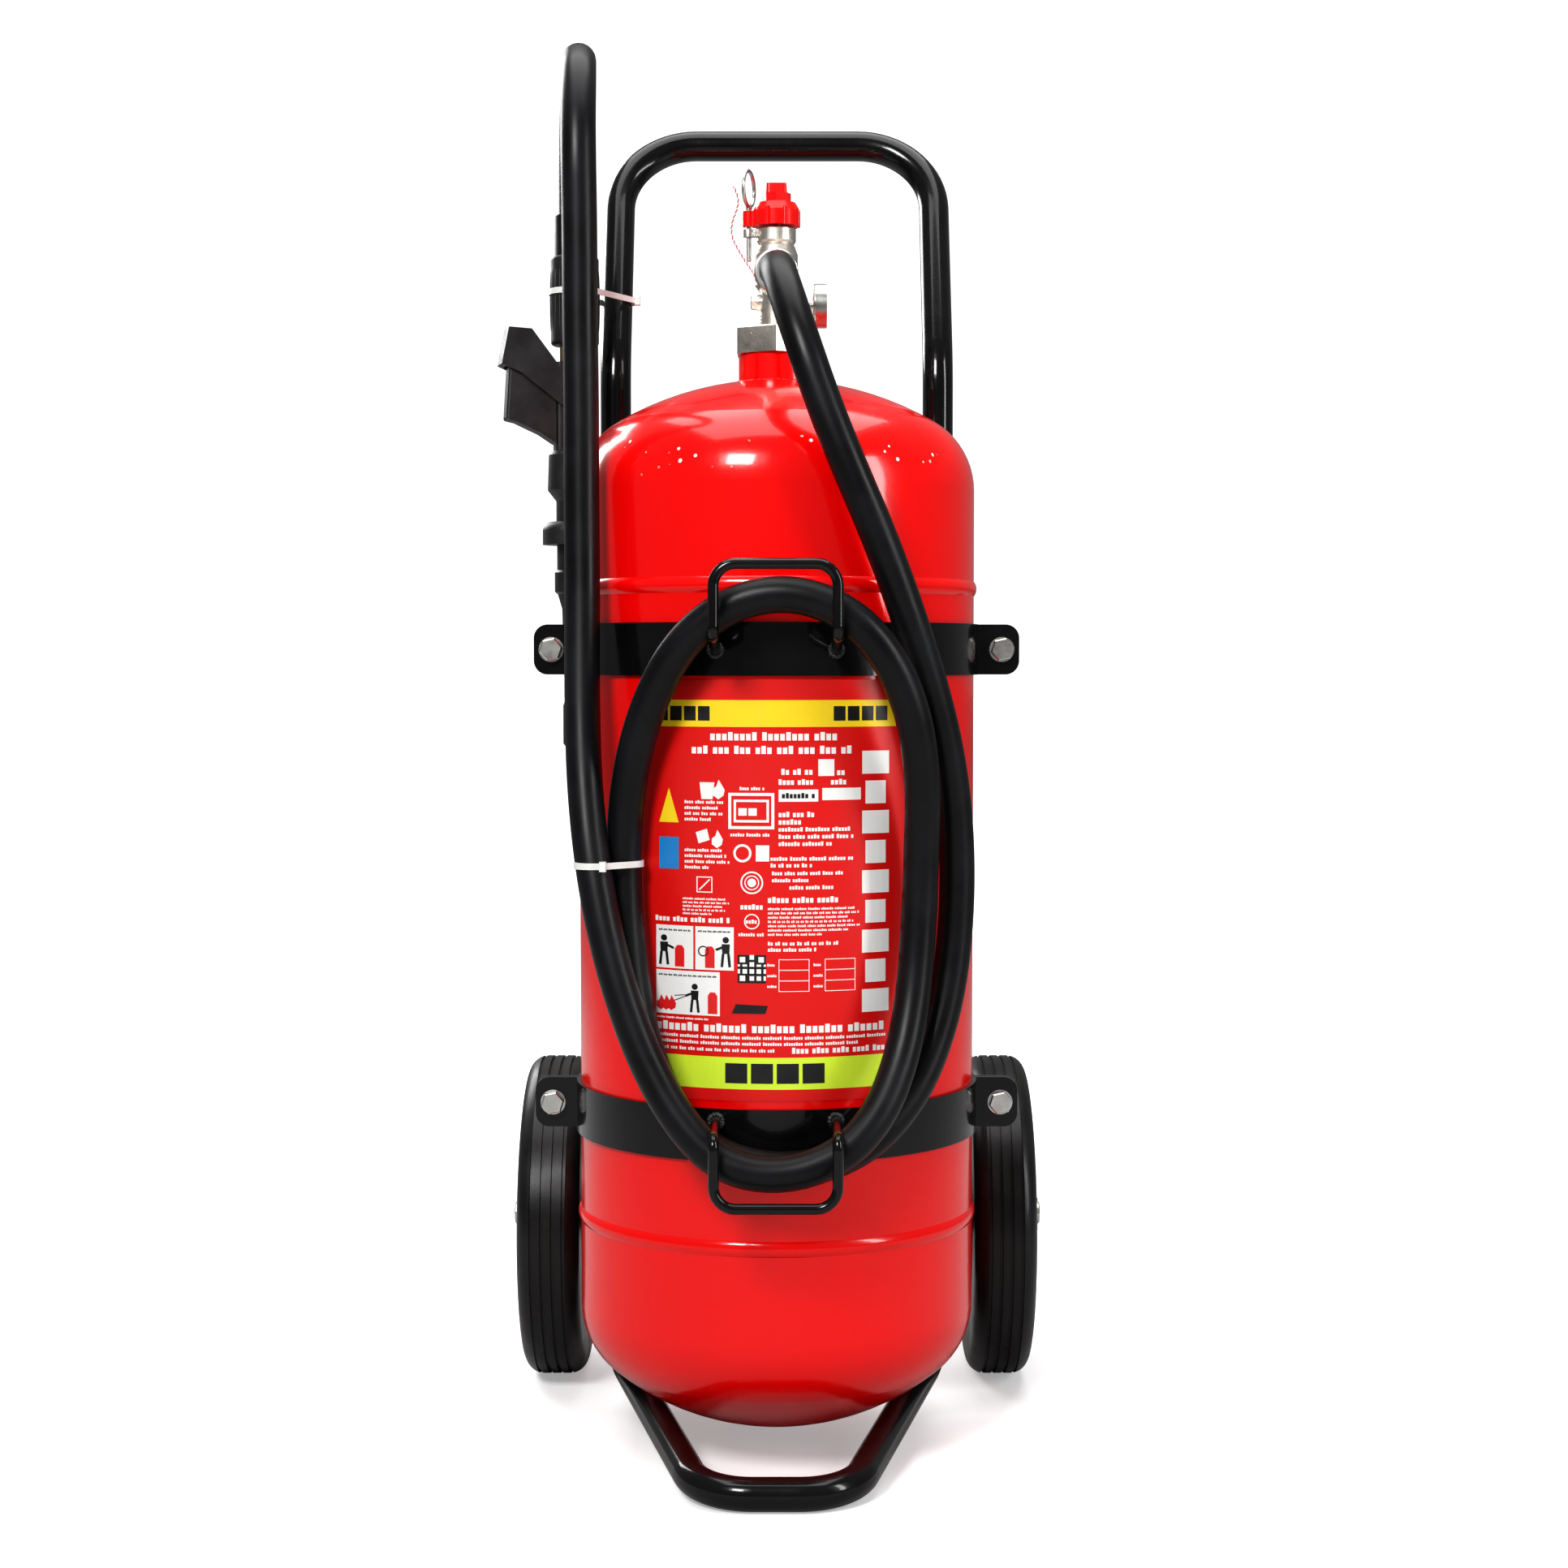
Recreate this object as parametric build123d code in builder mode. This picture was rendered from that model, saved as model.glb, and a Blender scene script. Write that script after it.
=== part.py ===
from build123d import *
import os
from math import atan2, cos, degrees, pi, radians, sin, sqrt, tan

# Wheeled foam fire extinguisher: a welded tank strapped to a bent-tube trolley, with a
# knob valve on top, a discharge hose coiled on two rod hangers, and a hand gun tied to the
# frame. Millimetres, +Z up, -Y is the front. The origin is on the floor, in the middle of
# the trolley's footprint.
os.makedirs("parts", exist_ok=True)

# ---- Tank ----
tank_y = -63.5                # the tank's axis stands this far ahead of the origin
tank_radius = 157.5
tank_wall = 3.0
tank_base_z = 117.0           # lower tangent line, where the straight wall begins
tank_shoulder_z = 768.0       # upper tangent line
head_rise = 88.0
base_rise = 97.0
knuckle_radius = 62.0
bead_heights = (192.0, 690.0)
bead_half_height = 6.0
bead_proud = 2.2
neck_radius = 30.0
neck_bore = 22.5
neck_bottom_z = 846.0
neck_top_z = 876.0
seal_radius = 26.0
seal_wire = 1.5

# ---- Valve ----
nut_flats = 62.0
nut_height = 21.0
nut_spigot = 20.0
stem_radius = 13.0
valve_base_z = 858.0
valve_body_z = 931.0
valve_body_radius = 15.5
collar_z = 963.0
collar_top_z = 976.0
outlet_z = 934.0
outlet_reach = 34.0
adapter_reach = 44.0
hose_start_y = 64.0           # the hose leaves its sleeve this far in front of the tank's axis
chamber_radius = 8.0
chamber_z = 922.0
chamber_top_z = 948.0
inlet_bore = 6.0
spindle_radius = 4.0
shaft_clearance = 0.05
dip_tube_radius = 11.0
gauge_z = 915.0
gauge_near_x = 29.0
gauge_case_depth = 11.0
gauge_radius = 17.5
plug_z = 918.0
pin_circle = 22.0             # the safety pin stands this far from the valve's axis
pin_radius = 2.0
pin_low_z = 950.0
lug_low_z = 969.5
knob_low_z = 977.5
knob_base_radius = 19.0
knob_base_height = 18.5
ring_radius = 14.0
ring_wire = 1.5
ring_turn = 17.0              # degrees the pin's ring stands off the fore-and-aft plane

# ---- Bands and hangers ----
band_heights = {"upper": 642.0, "lower": 278.0}
band_gap = 0.2
band_thickness = 3.0
band_width = 40.0
ear_reach = 194.0
ear_thickness = 4.0
ear_gap = 1.0                 # half the gap between the front ear and the rear ear
ear_corner = 11.0
bolt_x = 180.0
bolt_radius = 5.0
bolt_flats = 16.5
rod_radius = 4.0
hanger_half_width = 45.0
hanger_corner = 16.0

# ---- Trolley frame ----
tube_radius = 12.7
tube_wall = 2.0
leg_x = 135.0
leg_y = tank_y + 109.0
frame_joint_z = 470.0
lean_start_z = 879.0
lean_angle = 25.0
handle_z = 1080.0
lean_bend = 90.0
handle_corner = 65.0
foot_bend_z = 44.0
foot_bend = 50.0
foot_x = 56.0
foot_y = tank_y - 177.0
foot_corner = 50.0

# ---- Wheels and axle ----
wheel_radius = 140.0
wheel_y = tank_y + 220.0
wheel_x = 194.0
tyre_half_width = 26.5
rim_radius = 100.0
hub_half_length = 33.0
hub_radius = 24.0
axle_radius = 10.0
axle_half_length = 234.0
axle_tube_radius = 15.0
axle_tube_half = 157.0
bush_radius = 13.0
washer_radius = 17.0
washer_thickness = 2.5
side_gap = 0.3
bracket_thickness = 6.0
rim_holes = 5
rim_hole_radius = 15.0
tread_grooves = 4

# ---- Hose ----
hose_radius = 13.5
fillet_share = 0.45           # share of the shorter run that a bend's tangent takes

# ---- Hand gun ----
gun_x = -167.0
gun_y = tank_y + 82.0
gun_turn = 15.0               # degrees the grip turns from -X towards the front
hose_end_z = 1000.0
grip_width = 19.0
lever_wall = 2.6
lever_pivot = (10.0, 852.0)   # outward from the gun's axis, and height
lever_pin_radius = 2.5

tank_axis = Axis((0, tank_y, 0), (0, 0, 1))
tank_side = Plane.XZ.offset(-tank_y)


def level(height):
    """The horizontal plane at a height, centred on the tank's axis."""
    return Plane((0, tank_y, height))


def polar_point(radius, angle, centre=(0.0, 0.0)):
    return (centre[0] + radius * cos(radians(angle)), centre[1] + radius * sin(radians(angle)))


# =====================================================================================
# Tank: straight wall with a dished head at each end, two rolled beads, welded neck
# =====================================================================================
knuckle_x = tank_radius - knuckle_radius
crown_radius = (knuckle_x**2 + head_rise**2 - knuckle_radius**2) / (2 * (head_rise - knuckle_radius))
knuckle_angle = degrees(atan2(crown_radius - head_rise, knuckle_x))
base_radius = (knuckle_x**2 + base_rise**2 - knuckle_radius**2) / (2 * (base_rise - knuckle_radius))
base_angle = degrees(atan2(base_radius - base_rise, knuckle_x))
tank_top_z = tank_shoulder_z + head_rise
tank_bottom_z = tank_base_z - base_rise


def tank_section(inset):
    """Half of the tank's section, its wall moved inwards by inset."""
    knuckle = knuckle_radius - inset
    crown = crown_radius - inset
    base = base_radius - inset
    with BuildSketch(tank_side) as section:
        with BuildLine():
            Line((0, tank_bottom_z + inset), (0, tank_top_z - inset))
            CenterArc((0, tank_top_z - crown_radius), crown, knuckle_angle, 90 - knuckle_angle)
            CenterArc((knuckle_x, tank_shoulder_z), knuckle, 0, knuckle_angle)
            Line((tank_radius - inset, tank_shoulder_z), (tank_radius - inset, tank_base_z))
            CenterArc((knuckle_x, tank_base_z), knuckle, -base_angle, base_angle)
            CenterArc((0, tank_bottom_z + base_radius), base, -90, 90 - base_angle)
        make_face()
    return section.sketch


def bead_section(height):
    """A rolled bead, a low round rib that stands proud of the wall."""
    root = tank_radius - tank_wall / 2
    with BuildSketch(tank_side) as section:
        with BuildLine():
            ThreePointArc(
                (tank_radius, height - bead_half_height),
                (tank_radius + bead_proud, height),
                (tank_radius, height + bead_half_height),
            )
            Line((tank_radius, height + bead_half_height), (root, height + bead_half_height))
            Line((root, height + bead_half_height), (root, height - bead_half_height))
            Line((root, height - bead_half_height), (tank_radius, height - bead_half_height))
        make_face()
    return section.sketch


with BuildPart() as tank_shell:
    revolve(tank_section(0), axis=tank_axis)
    for bead_height in bead_heights:
        revolve(bead_section(bead_height), axis=tank_axis)
    revolve(tank_section(tank_wall), axis=tank_axis, mode=Mode.SUBTRACT)
    with BuildSketch(level(neck_bottom_z - neck_radius)):
        Circle(neck_radius + shaft_clearance)
    extrude(amount=2 * neck_radius, mode=Mode.SUBTRACT)
tank_shell.part.label = "tank_shell"
export_step(tank_shell.part, "parts/tank_shell.step")

seal_depth = 2 * seal_wire + shaft_clearance
with BuildPart() as neck_boss:
    with BuildSketch(level(neck_bottom_z)):
        Circle(neck_radius)
        Circle(neck_bore, mode=Mode.SUBTRACT)
    extrude(amount=neck_top_z - neck_bottom_z)
    with BuildSketch(level(neck_top_z)):
        Circle(seal_radius + seal_wire + shaft_clearance)
        Circle(seal_radius - seal_wire - shaft_clearance, mode=Mode.SUBTRACT)
    extrude(amount=-seal_depth, mode=Mode.SUBTRACT)
    chamfer(neck_boss.edges().filter_by(GeomType.CIRCLE).group_by(Axis.Z)[-1].sort_by(SortBy.LENGTH)[-1], 1.5)
neck_boss.part.label = "neck_boss"
export_step(neck_boss.part, "parts/neck_boss.step")

with BuildPart() as neck_seal:
    with BuildSketch(tank_side):
        with Locations((seal_radius, neck_top_z - seal_wire - shaft_clearance)):
            Circle(seal_wire)
    revolve(axis=tank_axis)
neck_seal.part.label = "neck_seal"
export_step(neck_seal.part, "parts/neck_seal.step")

# =====================================================================================
# Valve: union nut, body with outlet and pin lug, spindle, poppet, dip tube
# =====================================================================================
nut_top_z = neck_top_z + nut_height
with BuildPart() as neck_nut:
    with BuildSketch(level(neck_top_z)):
        RegularPolygon(nut_flats / 2, 6, major_radius=False, rotation=30)
    extrude(amount=nut_height)
    with BuildSketch(level(neck_top_z - nut_spigot)):
        Circle(neck_bore - shaft_clearance)
    extrude(amount=nut_spigot)
    with BuildSketch(level(neck_top_z - nut_spigot)):
        Circle(stem_radius + shaft_clearance)
    extrude(amount=nut_spigot + nut_height, mode=Mode.SUBTRACT)
    chamfer(neck_nut.edges().group_by(Axis.Z)[-1].filter_by(GeomType.LINE), 1.2)
neck_nut.part.label = "neck_nut"
export_step(neck_nut.part, "parts/neck_nut.step")

outlet_radius = 12.5
outlet_bore = 7.0
gauge_boss_reach = 21.0
plug_boss_reach = 15.5
with BuildPart() as valve_body:
    with BuildSketch(tank_side):
        with BuildLine():
            Polyline(
                (0, valve_base_z),
                (stem_radius, valve_base_z),
                (stem_radius, valve_body_z - 6),
                (valve_body_radius + 1.5, valve_body_z),
                (valve_body_radius + 1.5, collar_z - 8),
                (valve_body_radius - 1, collar_z - 1),
                (valve_body_radius - 2.2, collar_z),
                (valve_body_radius - 1, collar_z + 1),
                (valve_body_radius, collar_z + 3),
                (valve_body_radius, collar_top_z - 1),
                (valve_body_radius - 1, collar_top_z),
                (0, collar_top_z),
                close=True,
            )
        make_face()
    revolve(axis=tank_axis)
    with BuildSketch(Plane.XZ.offset(-tank_y)):
        with Locations((0, outlet_z)):
            Circle(outlet_radius + 1.5)
    extrude(amount=outlet_reach)
    with BuildSketch(Plane((0, tank_y, gauge_z), x_dir=(0, 1, 0), z_dir=(1, 0, 0))):
        Circle(7.5)
    extrude(amount=gauge_boss_reach)
    with BuildSketch(Plane((0, tank_y, plug_z), x_dir=(0, 1, 0), z_dir=(-1, 0, 0))):
        Circle(6.5)
    extrude(amount=plug_boss_reach)
    with BuildSketch(level(lug_low_z)):
        with Locations((-pin_circle, 0)):
            Circle(5.0)
        with Locations((-pin_circle / 2, 0)):
            Rectangle(pin_circle, 8.0)
    extrude(amount=5.5)
    with BuildSketch(level(valve_base_z)):
        Circle(inlet_bore)
    extrude(amount=chamber_z - valve_base_z, mode=Mode.SUBTRACT)
    with BuildSketch(level(chamber_z)):
        Circle(chamber_radius)
    extrude(amount=chamber_top_z - chamber_z, mode=Mode.SUBTRACT)
    with BuildSketch(level(chamber_top_z)):
        Circle(spindle_radius + shaft_clearance)
    extrude(amount=collar_top_z - chamber_top_z, mode=Mode.SUBTRACT)
    with BuildSketch(level(lug_low_z)):
        with Locations((-pin_circle, 0)):
            Circle(pin_radius + shaft_clearance)
    extrude(amount=5.5, mode=Mode.SUBTRACT)
    with BuildSketch(Plane.XZ.offset(-tank_y)):
        with Locations((0, outlet_z)):
            Circle(outlet_bore)
    extrude(amount=outlet_reach, mode=Mode.SUBTRACT)
    with BuildSketch(Plane((0, tank_y, gauge_z), x_dir=(0, 1, 0), z_dir=(1, 0, 0))):
        Circle(2.0)
    extrude(amount=gauge_boss_reach, mode=Mode.SUBTRACT)
valve_body.part.label = "valve_body"
export_step(valve_body.part, "parts/valve_body.step")

with BuildPart() as relief_plug:
    with BuildSketch(Plane((-plug_boss_reach, tank_y, plug_z), x_dir=(0, 1, 0), z_dir=(-1, 0, 0))):
        RegularPolygon(5.5, 6, major_radius=False)
    extrude(amount=5.0)
    chamfer(relief_plug.edges().group_by(Axis.X)[0], 0.8)
relief_plug.part.label = "relief_plug"
export_step(relief_plug.part, "parts/relief_plug.step")

with BuildPart() as valve_poppet:
    with BuildSketch(level(chamber_z + side_gap)):
        Circle(chamber_radius - side_gap)
    extrude(amount=4.0)
    with BuildSketch(level(chamber_z + 4.0)):
        Circle(2.5)
    extrude(amount=10.0)
valve_poppet.part.label = "valve_poppet"
export_step(valve_poppet.part, "parts/valve_poppet.step")

spindle_low_z = 941.0
spindle_top_z = 992.0
with BuildPart() as valve_spindle:
    with BuildSketch(level(spindle_low_z)):
        Circle(spindle_radius)
    extrude(amount=spindle_top_z - spindle_low_z)
valve_spindle.part.label = "valve_spindle"
export_step(valve_spindle.part, "parts/valve_spindle.step")

dip_tube_low_z = 44.0
with BuildPart() as dip_tube:
    with BuildSketch(level(dip_tube_low_z)):
        Circle(dip_tube_radius)
        Circle(dip_tube_radius - 1.5, mode=Mode.SUBTRACT)
    extrude(amount=valve_base_z - dip_tube_low_z)
dip_tube.part.label = "dip_tube"
export_step(dip_tube.part, "parts/dip_tube.step")

with BuildPart() as outlet_adapter:
    with BuildSketch(Plane.XZ.offset(-tank_y + outlet_reach)):
        with Locations((0, outlet_z)):
            RegularPolygon(outlet_radius + 1, 6, major_radius=False)
            Circle(outlet_bore, mode=Mode.SUBTRACT)
    extrude(amount=adapter_reach - outlet_reach)
outlet_adapter.part.label = "outlet_adapter"
export_step(outlet_adapter.part, "parts/outlet_adapter.step")

sleeve_radius = 17.0
with BuildPart() as hose_sleeve:
    with BuildSketch(Plane.XZ.offset(-tank_y + adapter_reach)):
        with Locations((0, outlet_z)):
            Circle(sleeve_radius)
            Circle(outlet_bore, mode=Mode.SUBTRACT)
    extrude(amount=hose_start_y - adapter_reach)
    fillet(hose_sleeve.edges().filter_by(GeomType.CIRCLE).sort_by(SortBy.LENGTH)[-2:], 1.5)
hose_sleeve.part.label = "hose_sleeve"
export_step(hose_sleeve.part, "parts/hose_sleeve.step")

# =====================================================================================
# Knob, its screw, and the safety pin with its ring
# =====================================================================================
knob_mid_z = knob_low_z + knob_base_height
knob_mid_height = 7.5
knob_block_height = 8.0
knob_lobes = 8
ear_slot = 2 * pin_radius + 1.2
with BuildPart() as hand_knob:
    with BuildSketch(level(knob_low_z)):
        Circle(knob_base_radius)
        with Locations((-pin_circle / 2, 0)):
            Rectangle(pin_circle, 2 * 5.0)
        with Locations((-pin_circle, 0)):
            Circle(5.0)
    extrude(amount=knob_base_height - 6.5)
    with BuildSketch(level(knob_low_z + knob_base_height - 6.5)):
        Circle(knob_base_radius)
    extrude(amount=6.5, taper=30)
    with BuildSketch(level(knob_mid_z)):
        RegularPolygon(11.5, 8)
    extrude(amount=knob_mid_height)
    with BuildSketch(level(knob_mid_z + knob_mid_height)):
        RectangleRounded(17.0, 12.0, 3.0)
    extrude(amount=knob_block_height, taper=4)
    with BuildSketch(level(knob_low_z)):
        with PolarLocations(knob_base_radius + 2.0, knob_lobes, start_angle=180 / knob_lobes):
            Circle(3.4)
    extrude(amount=knob_base_height, mode=Mode.SUBTRACT)
    with BuildSketch(level(knob_low_z)):
        with Locations((-pin_circle, ear_slot)):
            SlotOverall(4 * ear_slot - ear_slot, ear_slot, rotation=90)
    extrude(amount=knob_base_height, mode=Mode.SUBTRACT)
    with BuildSketch(level(knob_low_z)):
        Circle(spindle_radius)
    extrude(amount=spindle_top_z - knob_low_z, mode=Mode.SUBTRACT)
hand_knob.part.label = "hand_knob"
export_step(hand_knob.part, "parts/hand_knob.step")

pin_top_z = 990.0
ring_z = pin_top_z + 3.5 + ring_radius
eye_z = pin_top_z + 1.0
ring_plane = Plane(
    (-pin_circle, tank_y, ring_z),
    x_dir=(sin(radians(ring_turn)), cos(radians(ring_turn)), 0),
    z_dir=(cos(radians(ring_turn)), -sin(radians(ring_turn)), 0),
)
with BuildPart() as safety_pin:
    with BuildSketch(level(pin_low_z)):
        with Locations((-pin_circle, 0)):
            Circle(pin_radius)
    extrude(amount=eye_z - pin_low_z)
    chamfer(safety_pin.edges().group_by(Axis.Z)[0], 0.8)
safety_pin.part.label = "safety_pin"
export_step(safety_pin.part, "parts/safety_pin.step")

with BuildPart() as pin_ring:
    with Locations(ring_plane):
        Torus(ring_radius, ring_wire)
    with BuildSketch(level(eye_z)):
        with Locations((-pin_circle, 0)):
            Circle(pin_radius + 0.6)
    extrude(amount=ring_z - ring_radius - eye_z)
pin_ring.part.label = "pin_ring"
export_step(pin_ring.part, "parts/pin_ring.step")

# =====================================================================================
# Pressure gauge, facing +X
# =====================================================================================
gauge_face_x = gauge_near_x + gauge_case_depth
dial_x = gauge_near_x + 4.0
lens_thickness = 1.5


def gauge_plane(x):
    return Plane((x, tank_y, gauge_z), x_dir=(0, 1, 0), z_dir=(1, 0, 0))


with BuildPart() as gauge_stem:
    with BuildSketch(gauge_plane(gauge_boss_reach)):
        Circle(4.5)
    extrude(amount=gauge_near_x - gauge_boss_reach)
gauge_stem.part.label = "gauge_stem"
export_step(gauge_stem.part, "parts/gauge_stem.step")

with BuildPart() as gauge_case:
    with BuildSketch(gauge_plane(gauge_near_x)):
        Circle(gauge_radius)
    extrude(amount=gauge_case_depth)
    fillet(gauge_case.edges().group_by(Axis.X)[0], 2.0)
    with BuildSketch(gauge_plane(dial_x - 1.0)):
        Circle(gauge_radius - 2.0)
    extrude(amount=gauge_case_depth, mode=Mode.SUBTRACT)
gauge_case.part.label = "gauge_case"
export_step(gauge_case.part, "parts/gauge_case.step")

with BuildPart() as gauge_dial:
    with BuildSketch(gauge_plane(dial_x - 1.0)):
        Circle(gauge_radius - 2.0)
        Circle(1.0, mode=Mode.SUBTRACT)
    extrude(amount=1.0)
gauge_dial.part.label = "gauge_dial"
export_step(gauge_dial.part, "parts/gauge_dial.step")

with BuildPart() as gauge_needle:
    with BuildSketch(gauge_plane(dial_x + 1.5)):
        Circle(1.8)
        with Locations((0, 3.5)):
            Rectangle(1.0, 14.0)
    extrude(amount=0.6)
    with BuildSketch(gauge_plane(dial_x - 1.0)):
        Circle(0.9)
    extrude(amount=2.5)
gauge_needle.part.label = "gauge_needle"
export_step(gauge_needle.part, "parts/gauge_needle.step")

with BuildPart() as gauge_lens:
    with BuildSketch(gauge_plane(gauge_face_x - lens_thickness - 0.5)):
        Circle(gauge_radius - 2.0)
    extrude(amount=lens_thickness)
gauge_lens.part.label = "gauge_lens"
export_step(gauge_lens.part, "parts/gauge_lens.step")

# =====================================================================================
# Bands: a front half and a rear half at each height, bolted through their ears
# =====================================================================================
band_inner = tank_radius + band_gap
band_outer = band_inner + band_thickness


def band_half(height, side):
    """Half a band with its two ears: side is -1 for the front half and 1 for the rear."""
    near = side * ear_gap
    with BuildPart() as half:
        with BuildSketch(level(height - band_width / 2)):
            Circle(band_outer)
            Circle(band_inner, mode=Mode.SUBTRACT)
            with Locations((0, near - side * band_outer)):
                Rectangle(2 * ear_reach, 2 * band_outer, mode=Mode.SUBTRACT)
        extrude(amount=band_width)
        for end in (-1, 1):
            with BuildSketch(level(height - band_width / 2)):
                with Locations((end * (band_inner + ear_reach) / 2, near + side * ear_thickness / 2)):
                    Rectangle(ear_reach - band_inner, ear_thickness)
            extrude(amount=band_width)
        outer_edges = half.edges().filter_by(Axis.Y)
        fillet(outer_edges.filter_by(lambda edge: abs(edge.center().X) > ear_reach - 1), ear_corner)
        with BuildSketch(Plane.XZ.offset(-tank_y - 2 * ear_thickness)):
            with Locations((-bolt_x, height), (bolt_x, height)):
                Circle(bolt_radius + 0.3)
        extrude(amount=4 * ear_thickness, mode=Mode.SUBTRACT)
    return half


for band_name, band_height in band_heights.items():
    for half_name, half_side in (("front", -1), ("rear", 1)):
        band = band_half(band_height, half_side)
        band.part.label = f"{band_name}_band_{half_name}"
        export_step(band.part, f"parts/{band_name}_band_{half_name}.step")

ear_face = ear_gap + ear_thickness
bolt_head = 7.0
washer_height = 1.6
nut_thickness = 8.0
bolt_places = [(x, z) for x in (-bolt_x, bolt_x) for z in band_heights.values()]

with BuildPart() as band_bolts:
    for bolt_place in bolt_places:
        with BuildSketch(Plane.XZ.offset(-tank_y + ear_face + washer_height)):
            with Locations(bolt_place):
                RegularPolygon(bolt_flats / 2, 6, major_radius=False, rotation=12)
        extrude(amount=bolt_head)
        with BuildSketch(Plane.XZ.offset(-tank_y + ear_face + washer_height)):
            with Locations(bolt_place):
                Circle(bolt_radius)
        extrude(amount=-(2 * ear_face + 2 * washer_height + nut_thickness + 4.0))
    chamfer(band_bolts.edges().group_by(Axis.Y)[0].filter_by(GeomType.LINE), 0.9)
band_bolts.part.label = "band_bolts"
export_step(band_bolts.part, "parts/band_bolts.step")

with BuildPart() as band_washers:
    for bolt_place in bolt_places:
        for washer_y in (ear_face, -ear_face - washer_height):
            with BuildSketch(Plane.XZ.offset(-tank_y + washer_y)):
                with Locations(bolt_place):
                    Circle(10.0)
                    Circle(bolt_radius + 0.2, mode=Mode.SUBTRACT)
            extrude(amount=washer_height)
band_washers.part.label = "band_washers"
export_step(band_washers.part, "parts/band_washers.step")

with BuildPart() as band_nuts:
    for bolt_place in bolt_places:
        with BuildSketch(Plane.XZ.offset(-tank_y - ear_face - washer_height)):
            with Locations(bolt_place):
                RegularPolygon(bolt_flats / 2, 6, major_radius=False)
                Circle(bolt_radius, mode=Mode.SUBTRACT)
        extrude(amount=-nut_thickness)
band_nuts.part.label = "band_nuts"
export_step(band_nuts.part, "parts/band_nuts.step")


# =====================================================================================
# Hose hangers: a bent rod welded by its two ends to the front of each band
# =====================================================================================
def hanger(root_z, reach, elbow_z, bar_z):
    """A rod loop: out from the band to reach, then to the bar at bar_z."""
    root_y = tank_y - sqrt(band_outer**2 - hanger_half_width**2)
    front_y = tank_y - reach
    with BuildPart() as loop:
        with BuildLine() as path:
            FilletPolyline(
                (-hanger_half_width, root_y, root_z),
                (-hanger_half_width, front_y, elbow_z),
                (-hanger_half_width, front_y, bar_z),
                (hanger_half_width, front_y, bar_z),
                (hanger_half_width, front_y, elbow_z),
                (hanger_half_width, root_y, root_z),
                radius=[hanger_corner / 2, hanger_corner, hanger_corner, hanger_corner / 2],
            )
        with BuildSketch(Plane(path.line @ 0, z_dir=path.line % 0)):
            Circle(rod_radius)
        sweep()
        with BuildSketch(level(root_z - band_width)):
            Circle(band_outer)
        extrude(amount=2 * band_width, mode=Mode.SUBTRACT)
    return loop


upper_hanger = hanger(641.0, 214.0, 651.0, 703.0)
upper_hanger.part.label = "upper_hose_hanger"
export_step(upper_hanger.part, "parts/upper_hose_hanger.step")

lower_hanger = hanger(289.0, 229.0, 289.0, 238.0)
lower_hanger.part.label = "lower_hose_hanger"
export_step(lower_hanger.part, "parts/lower_hose_hanger.step")

# Front label: a thin sheet that follows the tank between the bands
label_half_angle = 39.0
label_low_z = band_heights["lower"] + band_width / 2 + 6
label_top_z = band_heights["upper"] - band_width / 2 - 3
label_thickness = 0.4
with BuildPart() as front_label:
    with BuildSketch(level(label_low_z)):
        Circle(tank_radius + label_thickness)
        Circle(tank_radius, mode=Mode.SUBTRACT)
        with BuildLine():
            Polyline(
                (0, 0),
                polar_point(2 * tank_radius, -90 - label_half_angle),
                polar_point(2 * tank_radius, -90 + label_half_angle),
                close=True,
            )
        make_face(mode=Mode.INTERSECT)
    extrude(amount=label_top_z - label_low_z)
front_label.part.label = "front_label"
export_step(front_label.part, "parts/front_label.step")

# =====================================================================================
# Trolley frame: an upper hoop that leans back to the handle, and a lower hoop whose
# legs turn forward under the tank to the foot
# =====================================================================================
handle_y = leg_y + (handle_z - lean_start_z) * tan(radians(lean_angle))


def bent_tube(points, radii):
    with BuildPart() as tube:
        with BuildLine() as path:
            FilletPolyline(*points, radius=radii)
        with BuildSketch(Plane(path.line @ 0, z_dir=path.line % 0)):
            Circle(tube_radius)
            Circle(tube_radius - tube_wall, mode=Mode.SUBTRACT)
        sweep()
    return tube


upper_frame = bent_tube(
    [
        (-leg_x, leg_y, frame_joint_z),
        (-leg_x, leg_y, lean_start_z),
        (-leg_x, handle_y, handle_z),
        (leg_x, handle_y, handle_z),
        (leg_x, leg_y, lean_start_z),
        (leg_x, leg_y, frame_joint_z),
    ],
    [lean_bend, handle_corner, handle_corner, lean_bend],
)
upper_frame.part.label = "upper_frame_hoop"
export_step(upper_frame.part, "parts/upper_frame_hoop.step")

lower_frame = bent_tube(
    [
        (-leg_x, leg_y, frame_joint_z),
        (-leg_x, leg_y, foot_bend_z),
        (-foot_x, foot_y, tube_radius),
        (foot_x, foot_y, tube_radius),
        (leg_x, leg_y, foot_bend_z),
        (leg_x, leg_y, frame_joint_z),
    ],
    [foot_bend, foot_corner, foot_corner, foot_bend],
)
lower_frame.part.label = "lower_frame_hoop"
export_step(lower_frame.part, "parts/lower_frame_hoop.step")

# =====================================================================================
# Axle, its tube and brackets, and two wheels
# =====================================================================================
axle_z = wheel_radius


def axle_plane(x):
    return Plane((x, wheel_y, axle_z), x_dir=(0, 1, 0), z_dir=(1, 0, 0))


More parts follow.
